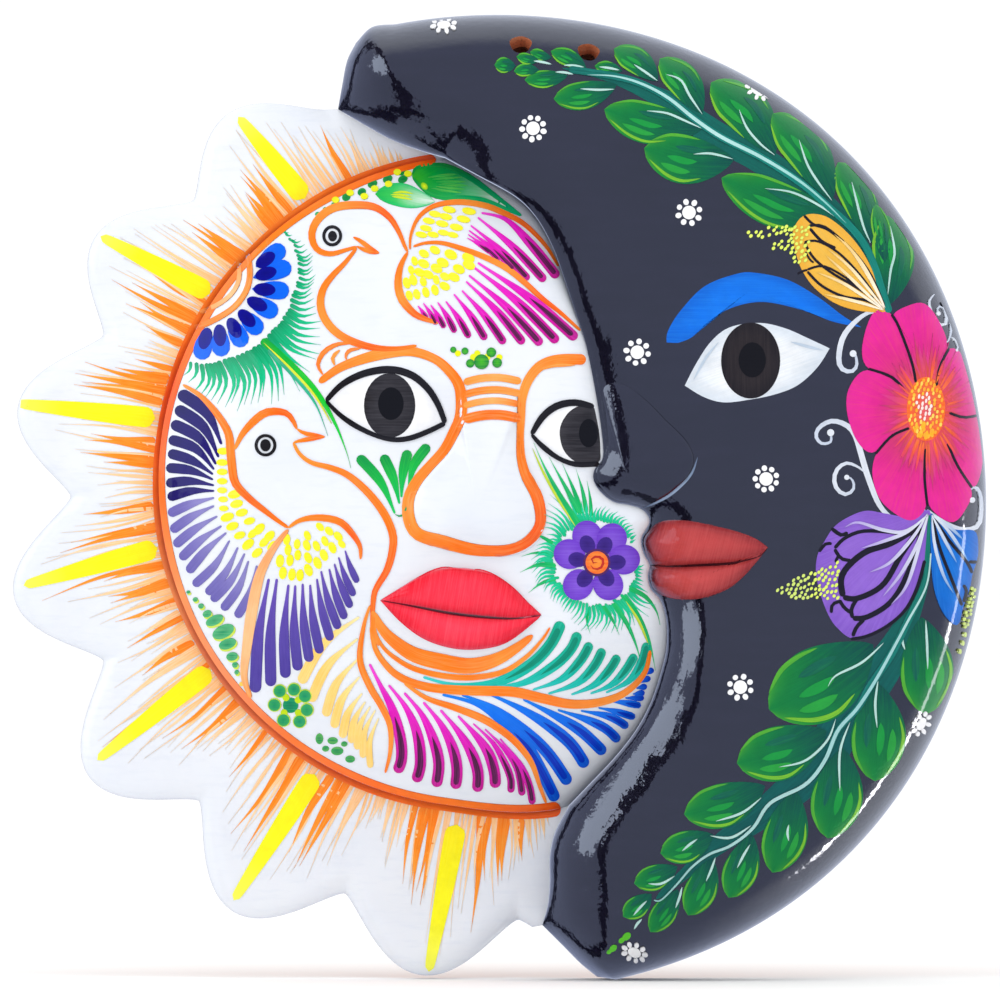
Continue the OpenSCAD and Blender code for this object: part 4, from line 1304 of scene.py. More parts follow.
# leaves and dots over the upper dove
spray = Coat("crown_leaves", "sun_paint", 1)
spray.fill([(-26.5, 99.6), (-24.9, 101.6), (-17, 102.1), (-9.8, 98.9), (-4.4, 95.2), (1.0, 91.2),
    (7.2, 86.6), (-2.7, 90.7), (-8.3, 91.8), (-18.2, 92.4), (-22.7, 94.6), (-25.8, 97.6)],
    [(60, 176, 20), (0, 158, 60), (0, 168, 90), (120, 214, 160), (238, 243, 244), (238, 243, 244)],
    centre=(-12, 96.4), under=(40, 190, 40), thin=0.5, fan=(-27, 97))
for pts in ([(-26.2, 99.4), (-24.6, 101.7), (-17, 102.2), (-9.8, 99.1), (-4.4, 95.4), (1.0, 91.3),
        (7.4, 86.5)], [(-26.2, 98.4), (-22.7, 94.6), (-18.2, 92.4), (-8.3, 91.8), (-2.7, 90.7),
        (7.4, 86.5)]):
    spray.brush(pts, 1.8, [(0, 150, 60), (0, 162, 76), (0, 172, 110), (0, 186, 130)], "swell",
        under=(70, 204, 70), thin=0.5, level=1)
for x, z in ((-14.5, 99.4), (-13.2, 98.4), (-12.0, 97.0), (-11.4, 95.8), (-12.0, 94.6), (-13.4, 93.6)):
    spray.brush([(x - 7, z - (z - 97) * 0.4), (x - 3, z - (z - 97) * 0.2), (x + 2.2, z)], 0.8,
        [(0, 164, 70), (60, 200, 90)], "hair", level=1, thin=0.4, under=(170, 226, 60))
spray.dot((-22.6, 95.6), 1.3, (226, 234, 0), 0.9, -50, level=2, rim=(120, 200, 20))
for pts in ([(-0.4, 92.2), (0.6, 91.0), (0.2, 90.0)], [(2.6, 90.2), (3.0, 89.2), (2.4, 88.4)]):
    spray.brush(pts, 0.7, (0, 172, 116), "hair", level=1, thin=0.3)
spray.brush([(-37.8, 93.3), (-31, 93.2), (-25, 91.8), (-19.3, 90.9)], 7.4, [(0, 180, 70), (60, 206, 90),
    (190, 232, 200), (238, 243, 244)], "leaf", sides=[(0, 180, 90), (0, 196, 110), (0, 196, 130)],
    under=(60, 214, 90), thin=0.5)
for dx, dz in ((0, 0), (0.6, 0.9), (0.4, -0.9)):
    spray.brush([(-33 + dx, 93 + dz * 0.6), (-30 + dx, 93 + dz), (-26.6 + dx, 92.4 + dz)], 0.7,
        (210, 232, 30), "hair", level=1, thin=0.3)
for k, c in enumerate(((-29.6, 100.4), (-29.3, 97.9), (-34, 98), (-38.7, 96.5), (-42, 94), (-46.8, 92.4))):
    spray.dot(c, 1.55 - 0.2 * (k > 3), (0, 112, 60), 1.15, 30, rim=(0, 150, 60), thin=0.4,
        under=(60, 180, 60))
for c in ((-27.7, 99.6), (-31, 100.1), (-33.7, 96.4), (-38.0, 95.0), (-41.2, 92.6), (-45.6, 93.7),
        (-50.1, 91.5)):
    spray.dot(c, 1.2, (236, 238, 0), 1.0, thin=0.3, under=(246, 248, 100), level=1)
for c in ((-50.6, 90), (-53.2, 88.6), (-55.6, 87.1)):
    spray.dot(c, 0.9, (40, 165, 90), 0.75, thin=0.4)
spray.dry()

# the lower dove
dove = Coat("lower_dove_lines", "sun_paint", 2)
for pts, width in (
        ([(-81.2, 14.2), (-78.9, 18.8), (-75.8, 22.4), (-72.2, 25.3), (-68.6, 26), (-65, 25.3), (-63, 22.9),
            (-61.9, 20.4)], 1.9),
        ([(-61.9, 20.6), (-59.6, 19.2), (-56.4, 18.6), (-53.2, 18.1)], 1.1),
        ([(-63, 16.3), (-60.4, 17), (-56.6, 17.6), (-53.2, 18.1)], 1.1),
        ([(-63, 16.3), (-60.9, 12.7), (-57.3, 10.1), (-51.7, 8.6), (-46.5, 6.5), (-41.4, 2.4),
            (-36.8, -2.8), (-33.7, -7.9), (-32.1, -13), (-32.6, -18.2), (-34.2, -23.3), (-37.3, -28.5),
            (-38.3, -32.6), (-38.8, -44.8)], 1.9),
        ([(-97.4, 34.3), (-92.3, 31.2), (-88.2, 27.1), (-85.1, 22.9), (-83, 18.8), (-82.5, 14.2),
            (-82, 9.1), (-81, 3.9), (-76.9, -0.7), (-71.7, -4.8), (-67.6, -7.9), (-64.5, -10)], 2.0),
        ([(-64.5, -10), (-61.4, -7.9), (-57.3, -6.9), (-52.2, -7.1), (-48.1, -8.4), (-45, -11.5),
            (-42.4, -15.6), (-42.2, -19.7)], 1.7)):
    dove.brush(pts, width * 1.3, [SALMON, ORANGE, ORANGE, RED_ORANGE, ORANGE], "swell",
        under=(255, 170, 96), thin=0.55)
dove.brush([(-64.5, -10.5), (-68.6, -15.6), (-71.7, -20.8), (-73.8, -25.9), (-75.8, -35.4), (-77.3, -45.7),
    (-78.4, -56), (-76.3, -62.7)], 3.4, [(255, 140, 70), (255, 164, 100), PEACH, PEACH, SALMON], "swell",
    under=(255, 206, 160), thin=0.6)
dove.ring((-71.6, 15.5), 2.9, 0.9, INK, 3.0)
dove.dot((-71.6, 15.5), 1.6, INK, 1.9)
dove.dry()

wing = Coat("lower_dove_left_wing", "sun_paint", 1)
outer = [(-98.7, 31.9), (-99.7, 27.1), (-101.0, 22.4), (-101.8, 17.5), (-102, 13.2), (-102.6, 8.6),
    (-102.6, 3.7), (-102.1, -0.7), (-101.9, -5.8), (-101.1, -11), (-100.1, -15.6), (-98.2, -19.7),
    (-95.9, -23.8), (-94.1, -27.9), (-90, -30.5), (-88.4, -32.6), (-85.1, -35.4), (-80.7, -37.7)]
inner = [(-85.3, 15.8), (-86.2, 11.8), (-87.0, 9.6), (-87.6, 8.0), (-87.9, 6.5), (-87.9, 4.9), (-87.6, 3.1),
    (-87.5, 1.4), (-87.6, -0.7), (-87.6, -3.2), (-86.6, -6.4), (-85.3, -9.4), (-83.8, -11.5),
    (-82.8, -13.9), (-80.2, -16), (-78.1, -17.9), (-76.9, -20.2), (-74.3, -21.6)]
deep = [(28, 0, 112), (20, 0, 98), (20, 0, 98), (14, 0, 84)]
soft = [(132, 126, 194), (138, 132, 194), (116, 108, 182), (102, 94, 172)]
feathers(wing, inner[:4], outer[:4], 3.9, deep, -0.13, under=(44, 8, 128), last=3.3)
feathers(wing, inner[4:8], outer[4:8], 3.2, deep, -0.07, under=(44, 8, 128), last=3.0)
feathers(wing, inner[8:13], outer[8:13], 3.0, soft, -0.04, under=(148, 140, 206))
feathers(wing, inner[13:], outer[13:], 2.8, soft, 0.07, under=(148, 140, 206))
for group, heading in (
        ([(-84.8, 13.7), (-85.1, 10.2), (-85.1, 7.3), (-85.1, 4.4), (-85.1, 1.6), (-84.8, -1.2),
            (-84.6, -4)], 178),
        ([(-83.5, -6.7), (-81.9, -9.5), (-79.6, -12.3)], 200),
        ([(-77, -15.1), (-74.2, -17.7)], 220),
        ([(-81.2, 0.4), (-80.6, -2.6), (-79, -5.3), (-76.6, -7.9)], 195),
        ([(-73.6, -10.4), (-70.4, -12.6), (-69.4, -15.6), (-72, -14.4), (-75.6, -11.8)], 225)):
    grown = 1 if heading == 178 else 1.2
    dabs(wing, group, 2.2 * grown, 3.6 * grown, heading)
wing.dry()

wing = Coat("lower_dove_right_wing", "sun_paint", 1)
feathers(wing, [(-70.6, -25.7), (-68.1, -25.7), (-64.5, -27.5), (-62.4, -27.7), (-60.1, -27.2),
    (-57.8, -27.5), (-55.7, -25.7), (-54.4, -23.3), (-51.9, -22.6), (-50.3, -21), (-49, -19), (-47, -16.9)],
    [(-75, -61.0), (-70.1, -59.0), (-65.5, -56.4), (-61.6, -54.1), (-58, -51.4), (-54.7, -48.8),
    (-51.4, -44.8), (-49, -41.2), (-47, -38.1), (-45.2, -34.6), (-44.2, -31.0), (-43.1, -26.9)], 3.6,
    [(112, 84, 190), (92, 72, 170), (84, 68, 162), (76, 62, 154)], -0.03, under=(116, 100, 186), last=2.1)
dabs(wing, [(-67.1, -20.2), (-66.2, -23.9), (-63.4, -24.4), (-60.9, -24.6), (-64, -20), (-65, -13.6),
    (-64.6, -16.8), (-61.6, -18.4), (-61.8, -15)], 2.5, 4.0, -95)
dabs(wing, [(-58.3, -23.0), (-55.5, -20.8), (-53.5, -18.4), (-50.9, -16.1), (-58.4, -19.2), (-58.8, -15.4),
    (-55.8, -15.6), (-53.2, -14.1), (-58.6, -12.4)], 2.5, 4.0, -68)
dabs(wing, [(-49.1, -12.6), (-51.9, -11), (-54.7, -9.7), (-48, -15)], 2.3, 3.4, -48)
wing.dry()

# dots and the small dotted flower below the dove
trail = Coat("dot_trail_and_flower", "sun_paint", 1)
for x, z, r, s, turn in ((-95.7, -29.9, 0.6, 0.5, 0), (-93.5, -32.2, 0.8, 0.7, 0),
        (-91.7, -34.2, 0.9, 0.8, 0), (-89.8, -36.6, 1.4, 1.1, 20), (-87.5, -38.6, 2.9, 1.5, 25),
        (-84.8, -42.1, 3.6, 2.0, 26), (-83.5, -45.9, 2.8, 1.6, 20), (-82.1, -49.8, 1.8, 1.3, 10),
        (-81.2, -52.4, 0.9, 0.9, 0), (-80.7, -54.7, 0.7, 0.7, 0)):
    trail.dot((x + 0.3, z - 0.5), r * 1.04, (206, 230, 70), s * 1.08, turn, thin=0.5, under=(236, 244, 150))
    trail.dot((x, z), r, (26, 140, 94), s, turn, level=1, rim=(70, 178, 120), thin=0.5,
        under=(150, 220, 150))
trail.dot((-79.3, -58.4), 0.7, (255, 206, 80), thin=0.3)
trail.dot((-64, -64.9), 2.4, (10, 120, 90), rim=(20, 150, 100), thin=0.5, under=(90, 200, 130))
for x, z in ((-67.3, -60.5), (-62.9, -60.0), (-59.5, -62), (-58.9, -66.3), (-61.2, -69.9), (-66.2, -69.5),
        (-69.0, -64.8)):
    trail.dot((x, z), 2.15, (196, 226, 60), thin=0.5, under=(226, 240, 140))
    trail.dot((x, z), 1.85, (22, 138, 104), level=1, rim=(56, 166, 104), thin=0.5, under=(60, 190, 60))
for x, z in ((-65.4, -62.5), (-61.6, -63.2), (-61.6, -67.2), (-66, -67.2)):
    trail.dot((x, z), 1.1, (190, 220, 20), thin=0.3)
for x, z, r, s in ((-55.1, -75.3, 1.2, 1.7), (-51, -75.9, 1.6, 1.1), (-49.6, -79.1, 1.9, 1.3),
        (-45.6, -81.6, 1.5, 1.1), (-53.2, -78.4, 1.1, 0.9), (-47.4, -76.9, 1.0, 0.8)):
    trail.dot((x, z), r, (20, 132, 84), s, rim=(60, 170, 90), thin=0.5, under=(150, 215, 90))
trail.dry()

# swirls under the lips, with five fans of strokes hanging from them
swirl = Coat("chin_swirls", "sun_paint", 3)
for pts, width in (
        ([(-38.6, -35.6), (-35.9, -40.6), (-32.4, -44.5), (-25.9, -49), (-17, -51.4), (-8.7, -52.6),
            (-0.9, -50.8), (5.6, -47.2), (10.9, -43.1)], 4.4),
        ([(-38.6, -39.8), (-35.6, -46.4), (-30.6, -50.8), (-24.7, -53.8), (-15.8, -55.8), (-6.9, -56.1),
            (2, -54.3), (9.1, -49.6), (13.9, -44.3), (16.2, -40.7)], 1.6),
        ([(-39.0, -40.2), (-37.6, -47.4), (-33.6, -53.2), (-28.8, -56.7), (-21.7, -59.1), (-12.8, -60),
            (-3.9, -60.3), (5, -60.6), (13.9, -62.6), (22.8, -64.4), (31.7, -63.8), (39.4, -60.9),
            (45.3, -54.9), (47.1, -47.8)], 2.7),
        ([(-28.8, -57.9), (-21.7, -62.6), (-12.8, -65.6), (-3.9, -69.2), (3.2, -73.9), (7.9, -78.7),
            (10.9, -83.4), (13.3, -90.5), (15.1, -95.3)], 2.0),
        ([(-39.3, -33.9), (-41.3, -40.6), (-42.4, -50.9), (-39.3, -59.1), (-35.7, -65.2), (-33.1, -71.4),
            (-33.1, -79.1), (-34.7, -85.8)], 1.8),
        ([(-38.4, -36.2), (-38.2, -41.6), (-36.6, -46.4)], 1.5)):
    swirl.brush(pts, width * 1.15, [SALMON, ORANGE, (255, 128, 10), ORANGE, SALMON, ORANGE], "swell",
        under=(255, 174, 100), thin=0.55)
swirl.dry()

fans = Coat("teal_fan", "sun_paint", 1)
for pts in ([(-22.9, -56.1), (-12.8, -58.5), (-0.9, -57.9), (9.7, -52.6), (16.3, -46), (19.8, -38.9)],
        [(-3.9, -59.4), (7.9, -57.9), (17.4, -52.6), (22.8, -47.2), (24.9, -42.2)],
        [(10.9, -60), (19.8, -56.7), (25.7, -50.8), (28.7, -45.4)], [(15.7, -61.2), (24.6, -57.9),
        (29.9, -52.6), (32.6, -47.2)], [(22.8, -61.5), (29.9, -58.5), (34.6, -53.8), (37.3, -49.3)],
        [(28.7, -61.2), (35.2, -58.5), (39.4, -54.3), (42.6, -49)], [(33.5, -60.9), (40.6, -57.3),
        (44.7, -51.4), (46.2, -45.4)]):
    cored(fans, pts, 2.4 + length(np.array(pts)) / 45, [(60, 206, 206), TEAL, (0, 184, 160), (0, 168, 134)],
        (0, 138, 110), (90, 214, 200))
fans.dry()
fans = Coat("blue_fan", "sun_paint", 1)
for pts in ([(-17, -61.5), (-6.3, -64.4), (2, -70.4), (9.1, -77.5), (13.9, -85.8), (18.2, -94.6)],
        [(-11, -61.5), (-0.9, -65.6), (7.9, -72.1), (15.7, -79.8), (22.2, -89.3)],
        [(-3.3, -60.9), (6.8, -65.6), (15.7, -71), (22.8, -76.9), (27.5, -84)],
        [(7.9, -62.9), (16.8, -67.4), (25.7, -72.7), (33.2, -79.8)], [(18.6, -66.2), (27.5, -69.2),
        (33.5, -72.1), (37.6, -76)], [(25.7, -66.5), (33.5, -68), (37.6, -69.8), (40.3, -71.8)],
        [(31.1, -65.6), (36, -66.6), (42.6, -68.6)], [(34.6, -63.5), (39, -64), (44.4, -65)]):
    cored(fans, pts, min(3.7, 1.6 + length(np.array(pts)) / 16), [(20, 130, 240), (0, 112, 240),
        (0, 104, 234), (0, 84, 220)], NAVY, (50, 140, 246))
for base, tip in (((39.4, -62.6), (45.3, -62.6)), ((41.8, -61.4), (45.5, -60.9)),
        ((42.9, -59.6), (46.2, -58.9)), ((43.9, -57.8), (47.2, -56.2)), ((45.4, -55.4), (48.2, -53.6))):
    fans.brush([base, tip], 1.9, [(20, 110, 236), (0, 50, 200)], "feather", under=(60, 130, 240))
fans.dry()
fans = Coat("magenta_fan", "sun_paint", 1)
for pts in ([(-39.5, -52), (-35.9, -59.1), (-32.4, -66.2), (-30, -75.1), (-29.7, -81.6), (-31.2, -85.8)],
        [(-33.6, -58.5), (-28.2, -65.6), (-24.7, -73.9), (-23.8, -82.8), (-25.3, -88.7)],
        [(-28.8, -60.9), (-23.5, -67.4), (-19.9, -75.1), (-18.1, -82.8), (-19, -90.2)],
        [(-22.9, -63.8), (-17.6, -70.4), (-14, -77.5), (-12.5, -84.6), (-13.1, -90.8)],
        [(-17.6, -66.2), (-12.2, -72.7), (-8.1, -79.3), (-6, -85.8), (-6.3, -91.7)],
        [(-12.2, -68), (-6.3, -74.5), (-2.7, -79.8), (-0.9, -85.8), (-0.7, -90.5)],
        [(-7.5, -70.4), (-1.5, -76.3), (2, -82.2), (4.1, -87.6), (4.1, -92)], [(-3.9, -72.1), (2, -78.1),
        (6.2, -84.6), (7.7, -92.9)], [(0.8, -75.1), (6.8, -82.8), (9.7, -89.3), (10.9, -95.6)]):
    cored(fans, pts, 3.5 if pts[0][0] < -12 else 2.3, rosy, CHARCOAL, (244, 100, 222))
fans.dry()
fans = Coat("pale_gold_fan", "sun_paint", 1)
feathers(fans, [(-42.6, -37.5), (-43.1, -44.2), (-42.9, -50.3), (-42.6, -56), (-41.8, -61.1),
    (-40.8, -63.7), (-39.3, -65.2), (-37.7, -66.3), (-36.7, -68.8)], [(-60.9, -58), (-57.8, -63.7),
    (-53.2, -68.3), (-50.6, -71.9), (-48, -75), (-45.2, -76.6), (-43.4, -78.6), (-41.6, -81.2),
    (-39.3, -84.3)], 3.3, [(255, 236, 170), (255, 216, 120), (255, 206, 100), (255, 212, 120)], -0.10,
    under=(255, 238, 180), thin=0.5, last=2.0)
fans.dry()

# the blue half flower at the temple, its fringe and its blades
half = Coat("blue_half_flower", "sun_paint", 2)
for base, tip in (((-74.8, 70.8), (-65.9, 77)), ((-75.6, 67.4), (-63.8, 71)), ((-75.9, 63.9),
        (-64.4, 63.2)), ((-77.5, 60.8), (-68, 56.1)), ((-79.8, 57.1), (-73, 50.3)),
        ((-83, 54.8), (-78.3, 46.1)), ((-86.1, 52.9), (-85.3, 43)), ((-89.5, 51.9), (-92.1, 42.1))):
    base, tip = np.array(base), np.array(tip)
    half.brush([base, tip], 5.6, [(0, 84, 226), (0, 92, 236), (0, 100, 240)], "petal", under=(20, 120, 250),
        thin=0.4)
    half.dot(lerp(base, tip, 0.34), 3.4, (0, 0, 120), 2.0, bearing(tip - base), level=1, rim=(0, 0, 140),
        thin=0.3, under=(10, 10, 150))
half.brush([(-77.4, 75), (-76.6, 69.7), (-77.1, 65), (-79.2, 60.8), (-82.9, 57.1), (-89.6, 53.4),
    (-94.2, 52.2)], 1.7, [ORANGE, SALMON, ORANGE], "line", level=2, under=PEACH, thin=0.5)
half.brush([(-80.4, 72.6), (-79.8, 68.6), (-80.6, 65), (-83, 61.6), (-87.4, 58.6), (-92.4, 57)], 1.3,
    [SALMON, PEACH, SALMON], "line", level=2, under=PEACH, thin=0.5)
half.dry()

fringe = Coat("temple_fringe", "sun_paint", 0)
base_line = spline([(-67.2, 83.6), (-65.4, 80.5), (-63.3, 78.1), (-62.3, 74.4), (-61.7, 69.7), (-62, 66.6),
    (-62.8, 63.9), (-63.8, 60.8), (-65.4, 56.6), (-67.5, 53.5), (-70.7, 50.3), (-73.8, 47.2), (-76.9, 45.1),
    (-80.1, 43.5), (-84.3, 42.5), (-88.5, 40.9), (-94.8, 41.2)], 6)
LONG_BY = ((0, 1.5), (0.1, 3.5), (0.18, 5.5), (0.35, 6.5), (0.42, 9), (0.48, 14), (0.58, 18), (0.63, 21),
    (0.70, 17), (0.76, 18), (0.84, 16), (0.9, 12.5), (0.95, 10), (1, 5))
HEADING_BY = ((0, -50), (0.1, -30), (0.18, -20), (0.35, -16), (0.46, -32), (0.56, -44), (0.63, -54),
    (0.74, -58), (0.84, -66), (0.92, -76), (1, -95))
CURL_BY = ((0, 50), (0.18, 58), (0.35, 50), (0.46, 35), (0.58, 22), (0.63, -25), (0.74, -40), (0.84, -44),
    (1, -45))
THICK_BY = ((0, 0.8), (0.3, 1.1), (0.5, 1.8), (0.9, 1.7), (1, 1.1))
for u in even(44):
    start = sample(base_line, [u])[0] + rng.uniform(-0.3, 0.3, 2)
    fringe.brush(hair(start, at(HEADING_BY, u), at(CURL_BY, u), at(LONG_BY, u) * rng.uniform(0.9, 1.08)),
        at(THICK_BY, u) * rng.uniform(0.9, 1.1), [(0, 140, 88), (0, 184, 124), (0, 208, 152)], "thorn",
        under=(70, 216, 170), thin=0.3)
fringe.brush([(-72.8, 48.2), (-63.3, 39.8), (-55.5, 31.5), (-50.2, 22.5), (-46.6, 13.6), (-45.2, 8.4)], 2.5,
    [(0, 160, 60), (0, 196, 50), (0, 206, 80)], "thorn", under=(90, 224, 60), thin=0.4, level=1)
fringe.brush([(-70.7, 45.1), (-62, 36), (-56, 28), (-52.3, 18.4)], 1.5, [(10, 150, 110), (30, 190, 150)],
    "thorn", under=(140, 226, 190), thin=0.5, level=1)
fringe.brush([(-72.2, 47.2), (-63.6, 38.9), (-56.4, 30.9), (-51.2, 22.2)], 0.8, (215, 225, 50), "hair",
    level=2)
fringe.dry()

# ---------------------------------------------------------------- the moon's painting

BRICK, NIGHT = (172, 58, 60), (26, 24, 36)
PALE_VEIN, FOG = (186, 222, 216), (205, 212, 226)

eye = Coat("moon_eye", "moon_paint", 0)
eye.fill(np.vstack([spline([(57.8, 33.9), (61.5, 41), (66, 47.6), (71.8, 51.9), (80.8, 53.2), (88.6, 51.6),
    (96, 48.4), (102.5, 45.4)], 8), spline([(102.5, 45.4), (98.6, 39.4), (92.6, 34), (85.7, 31.2),
    (78, 29.6), (69.9, 28.7), (63.6, 30.4), (57.8, 33.9)], 8)[1:-1]]), (238, 241, 245), centre=(79, 41),
    rim=(214, 222, 232), closed=False, thin=0.5, under=(196, 210, 224), grain=20)
iris = [(78.1 + 9.1 * math.cos(a), 41.6 + 11.7 * math.sin(a)) for a in np.arange(0, 2 * math.pi, 0.35)]
eye.fill(iris, (40, 34, 36), rim=(30, 26, 30), level=1, thin=0.35, under=(66, 58, 58), grain=90)
eye.dot((78.6, 41.8), 4.2, (14, 12, 15), 5.4, level=2, thin=0.2, under=(30, 28, 30))
eye.brush([(60.5, 35.6), (64.4, 42.6), (68.2, 47.2)], 0.8, (186, 202, 220), "hair", level=1)
eye.brush([(90.4, 47.4), (95.4, 46), (100.4, 44.8)], 0.9, (186, 202, 220), "hair", level=1)
eye.dry()

face = Coat("moon_brow_and_nostril", "moon_paint", 0)
face.fill(np.vstack([spline([(52.2, 47.2), (52.6, 50.7), (56.5, 57), (64, 64.6), (73.9, 68.4), (79.8, 68.7),
    (89.7, 66.5), (99, 61.2), (106.4, 55.6), (112.4, 51.9)], 8), spline([(112.4, 51.9), (103.6, 53.6),
    (94, 57.2), (81.7, 59.7), (71.6, 57.6), (64.4, 53), (60, 48.8), (55.6, 47)], 8)[1:]]), (0, 110, 226),
    centre=(78, 63.4), rim=(0, 96, 206), closed=False, thin=0.35, under=(40, 146, 244), grain=0)
face.brush([(61.8, 11.9), (59.7, 6.4), (54.1, 0.8), (48.8, -2.3), (44.5, -3.9)], 0.9,
    [(96, 112, 140), (150, 170, 198), (120, 138, 168)], "hair", thin=0.4, under=(80, 92, 120))
face.dry()

lips = Coat("moon_lip_colour", "moon_lip_paint", 0)
parting = spline(MOON_MOUTH, 10)
lips.fill(np.vstack([parting, spline(MOON_UPPER, 8)[1:-1]]), [(188, 66, 66), BRICK], centre=(61, -15),
    rim=(150, 44, 48), closed=False, thin=0.4, under=(206, 96, 92), grain=75)
lips.fill(np.vstack([parting, spline(MOON_LOWER, 8)[::-1][1:-1]]), [(192, 70, 70), BRICK],
    centre=(60.5, -26), rim=(150, 44, 48), closed=False, thin=0.4, under=(206, 96, 92), grain=75)
lips.brush(MOON_MOUTH, 0.9, [(70, 10, 18), (50, 6, 14), (80, 14, 22)], "hair", level=1, thin=0.2,
    under=(110, 20, 30))
lips.dry()

stars = Coat("white_dot_flowers", "moon_paint", 3)
for x, z, squash, turn, n in ((-16.6, 145.6, 0.6, 0, 8), (11, 113.3, 1, 10, 9), (59.1, 87.3, 1, 0, 8),
        (43.2, 44.2, 1, 20, 8), (82.9, 5.1, 1, 5, 9), (74.9, -59.1, 1, 12, 8), (42.3, -141.2, 0.7, -22, 9),
        (80.2, 124.9, 0.5, -34, 8), (131.0, -70.6, 0.6, 60, 8)):
    c, s = math.cos(math.radians(turn)), math.sin(math.radians(turn))
    stars.dot((x, z), 2.1, (247, 247, 249), 2.1 * squash, turn, thin=0.2)
    for k in range(n):
        a = 2 * math.pi * (k + 0.35) / n
        dx, dz = 3.35 * math.cos(a), 3.35 * squash * math.sin(a)
        stars.dot((x + dx * c - dz * s, z + dx * s + dz * c), 0.92 * rng.uniform(0.85, 1.1),
            (244, 245, 248), 0.86 * (0.35 + 0.65 * squash), turn + math.degrees(a), level=1, thin=0.2)
stars.dry()


def spots(n, gap, place):
    """Up to n places drawn by place, no two of them nearer than gap."""
    kept = []
    for _ in range(n * 14):
        c = place()
        if len(kept) < n and all(math.dist(c, other) > gap for other in kept):
            kept.append(tuple(c))
    return kept


def oval(half_x, half_z):
    """A place drawn from an oval about 0."""
    r, a = math.sqrt(rng.random()), rng.uniform(0, 2 * math.pi)
    return np.array([half_x * r * math.cos(a), half_z * r * math.sin(a)])


def foliage(coat, base, tip, half, bend, level=0):
    """A leaf in three loads of the brush: teal at the stalk, green, and lime along its edges."""
    base, tip = np.array(base, float), np.array(tip, float)
    go = tip - base
    run = float(np.hypot(*go))
    side = crosswise(go) / run
    mid = lerp(base, tip, 0.5) + side * bend
    coat.brush([base, mid, tip], 2 * half, [(0, 70, 70), (0, 86, 70), (0, 104, 64), (0, 116, 60),
        (4, 126, 56)], "foliage", sides=[(0, 72, 70), (0, 90, 70), (0, 114, 60), (22, 138, 50),
        (70, 162, 42)], under=(20, 140, 60), thin=0.38, level=level)
    for away, start, stop, colour in ((0.90, 0.34, 0.93, (122, 190, 44)), (-0.90, 0.40, 0.93,
            (84, 172, 48)), (0.52, 0.46, 0.80, (36, 158, 60)), (-0.42, 0.30, 0.66, (4, 92, 78)),
            (0.08, 0.40, 0.74, (16, 150, 62))):
        pts = []
        for u in np.linspace(start, stop, 4):
            centre = lerp(lerp(base, mid, min(1, u * 2)), tip, max(0, u * 2 - 1))
            spread = float(shape_of("foliage", np.array([u]), run, 2 * half)[0]) * half
            pts.append(centre + side * away * spread)
        coat.brush(pts, max(0.5, half * (0.13 if abs(away) > 0.8 else 0.28)), colour, "hair",
            under=(30, 140, 66), thin=0.5, level=level + 1)


garland = Coat("upper_garland", "moon_paint", 0)
garland.brush([(20, 132), (36, 128.6), (52.6, 121.6), (66, 112.2), (82, 103.2), (98, 92), (110, 80.6),
    (117.6, 68), (121, 58)], 7.0, [(6, 92, 84), (8, 96, 88), (6, 88, 80), (6, 82, 78)], "swell",
    under=(10, 120, 100), thin=0.5, widths=[0.3, 0.7, 1.1, 1.3, 1.2, 1.3, 1.2, 0.9, 0.4])
for k, (base, tip, half, bend) in enumerate((((5.7, 132.7), (-0.9, 133), 2.5, 0),
        ((12.9, 134.3), (5.9, 135.6), 1.7, 0.3), ((16.7, 135.2), (10.1, 137.1), 1.7, 0.3),
        ((12.9, 131.3), (5.1, 131.0), 2.0, -0.3), ((21.7, 129.6), (8.4, 128.3), 2.8, 0.4),
        ((27.5, 131.8), (16.5, 137.2), 2.7, -0.6), ((38.6, 131.0), (30.0, 132.6), 1.9, -0.4),
        ((36.9, 126.8), (17.4, 122.4), 4.4, 1.0), ((49.6, 128.0), (36.0, 138.0), 4.2, -1.2),
        ((63.4, 113.5), (33.0, 119.2), 6.4, 1.8), ((63.2, 117.9), (50.2, 135.0), 5.2, -1.6),
        ((73.0, 103.5), (45.3, 107.2), 7.6, 1.8), ((85.8, 105.3), (66.0, 127.6), 7.2, -2.4),
        ((103.5, 91.4), (85.0, 117.9), 6.8, -2.2), ((115.7, 78), (105.3, 103.0), 5.6, -1.6),
        ((119.6, 72), (116.8, 90.0), 3.0, -0.6), ((120.6, 58.6), (120.6, 86.6), 6.6, -1.8),
        ((108, 84.4), (69.2, 98.0), 7.2, 2.2))):
    foliage(garland, base, tip, half, bend, level=1 + k % 2)
garland.brush([(22, 131.6), (36.1, 129.4), (44.4, 127.1), (52.7, 122.7), (61, 116.1), (69.3, 110.5),
    (81.4, 104.4), (93.9, 96.2), (102.2, 89.1), (108.9, 83), (113.3, 77.4), (116.6, 70.2), (118.8, 63),
    (121, 56.4)], 2.2, [(4, 92, 84), (4, 112, 104), (4, 122, 110), (4, 118, 106)], "line",
    under=(40, 160, 146), thin=0.5, level=4)
garland.brush([(27.8, 129.8), (36.1, 129.4), (44.4, 127.1), (52.7, 122.7), (61, 116.1), (69.3, 110.5),
    (81.4, 104.4), (93, 97.2), (101, 90.6), (107.6, 84)], 1.1, [(150, 206, 204), (176, 222, 218),
    (120, 196, 190)], "hair", level=5, thin=0.3)
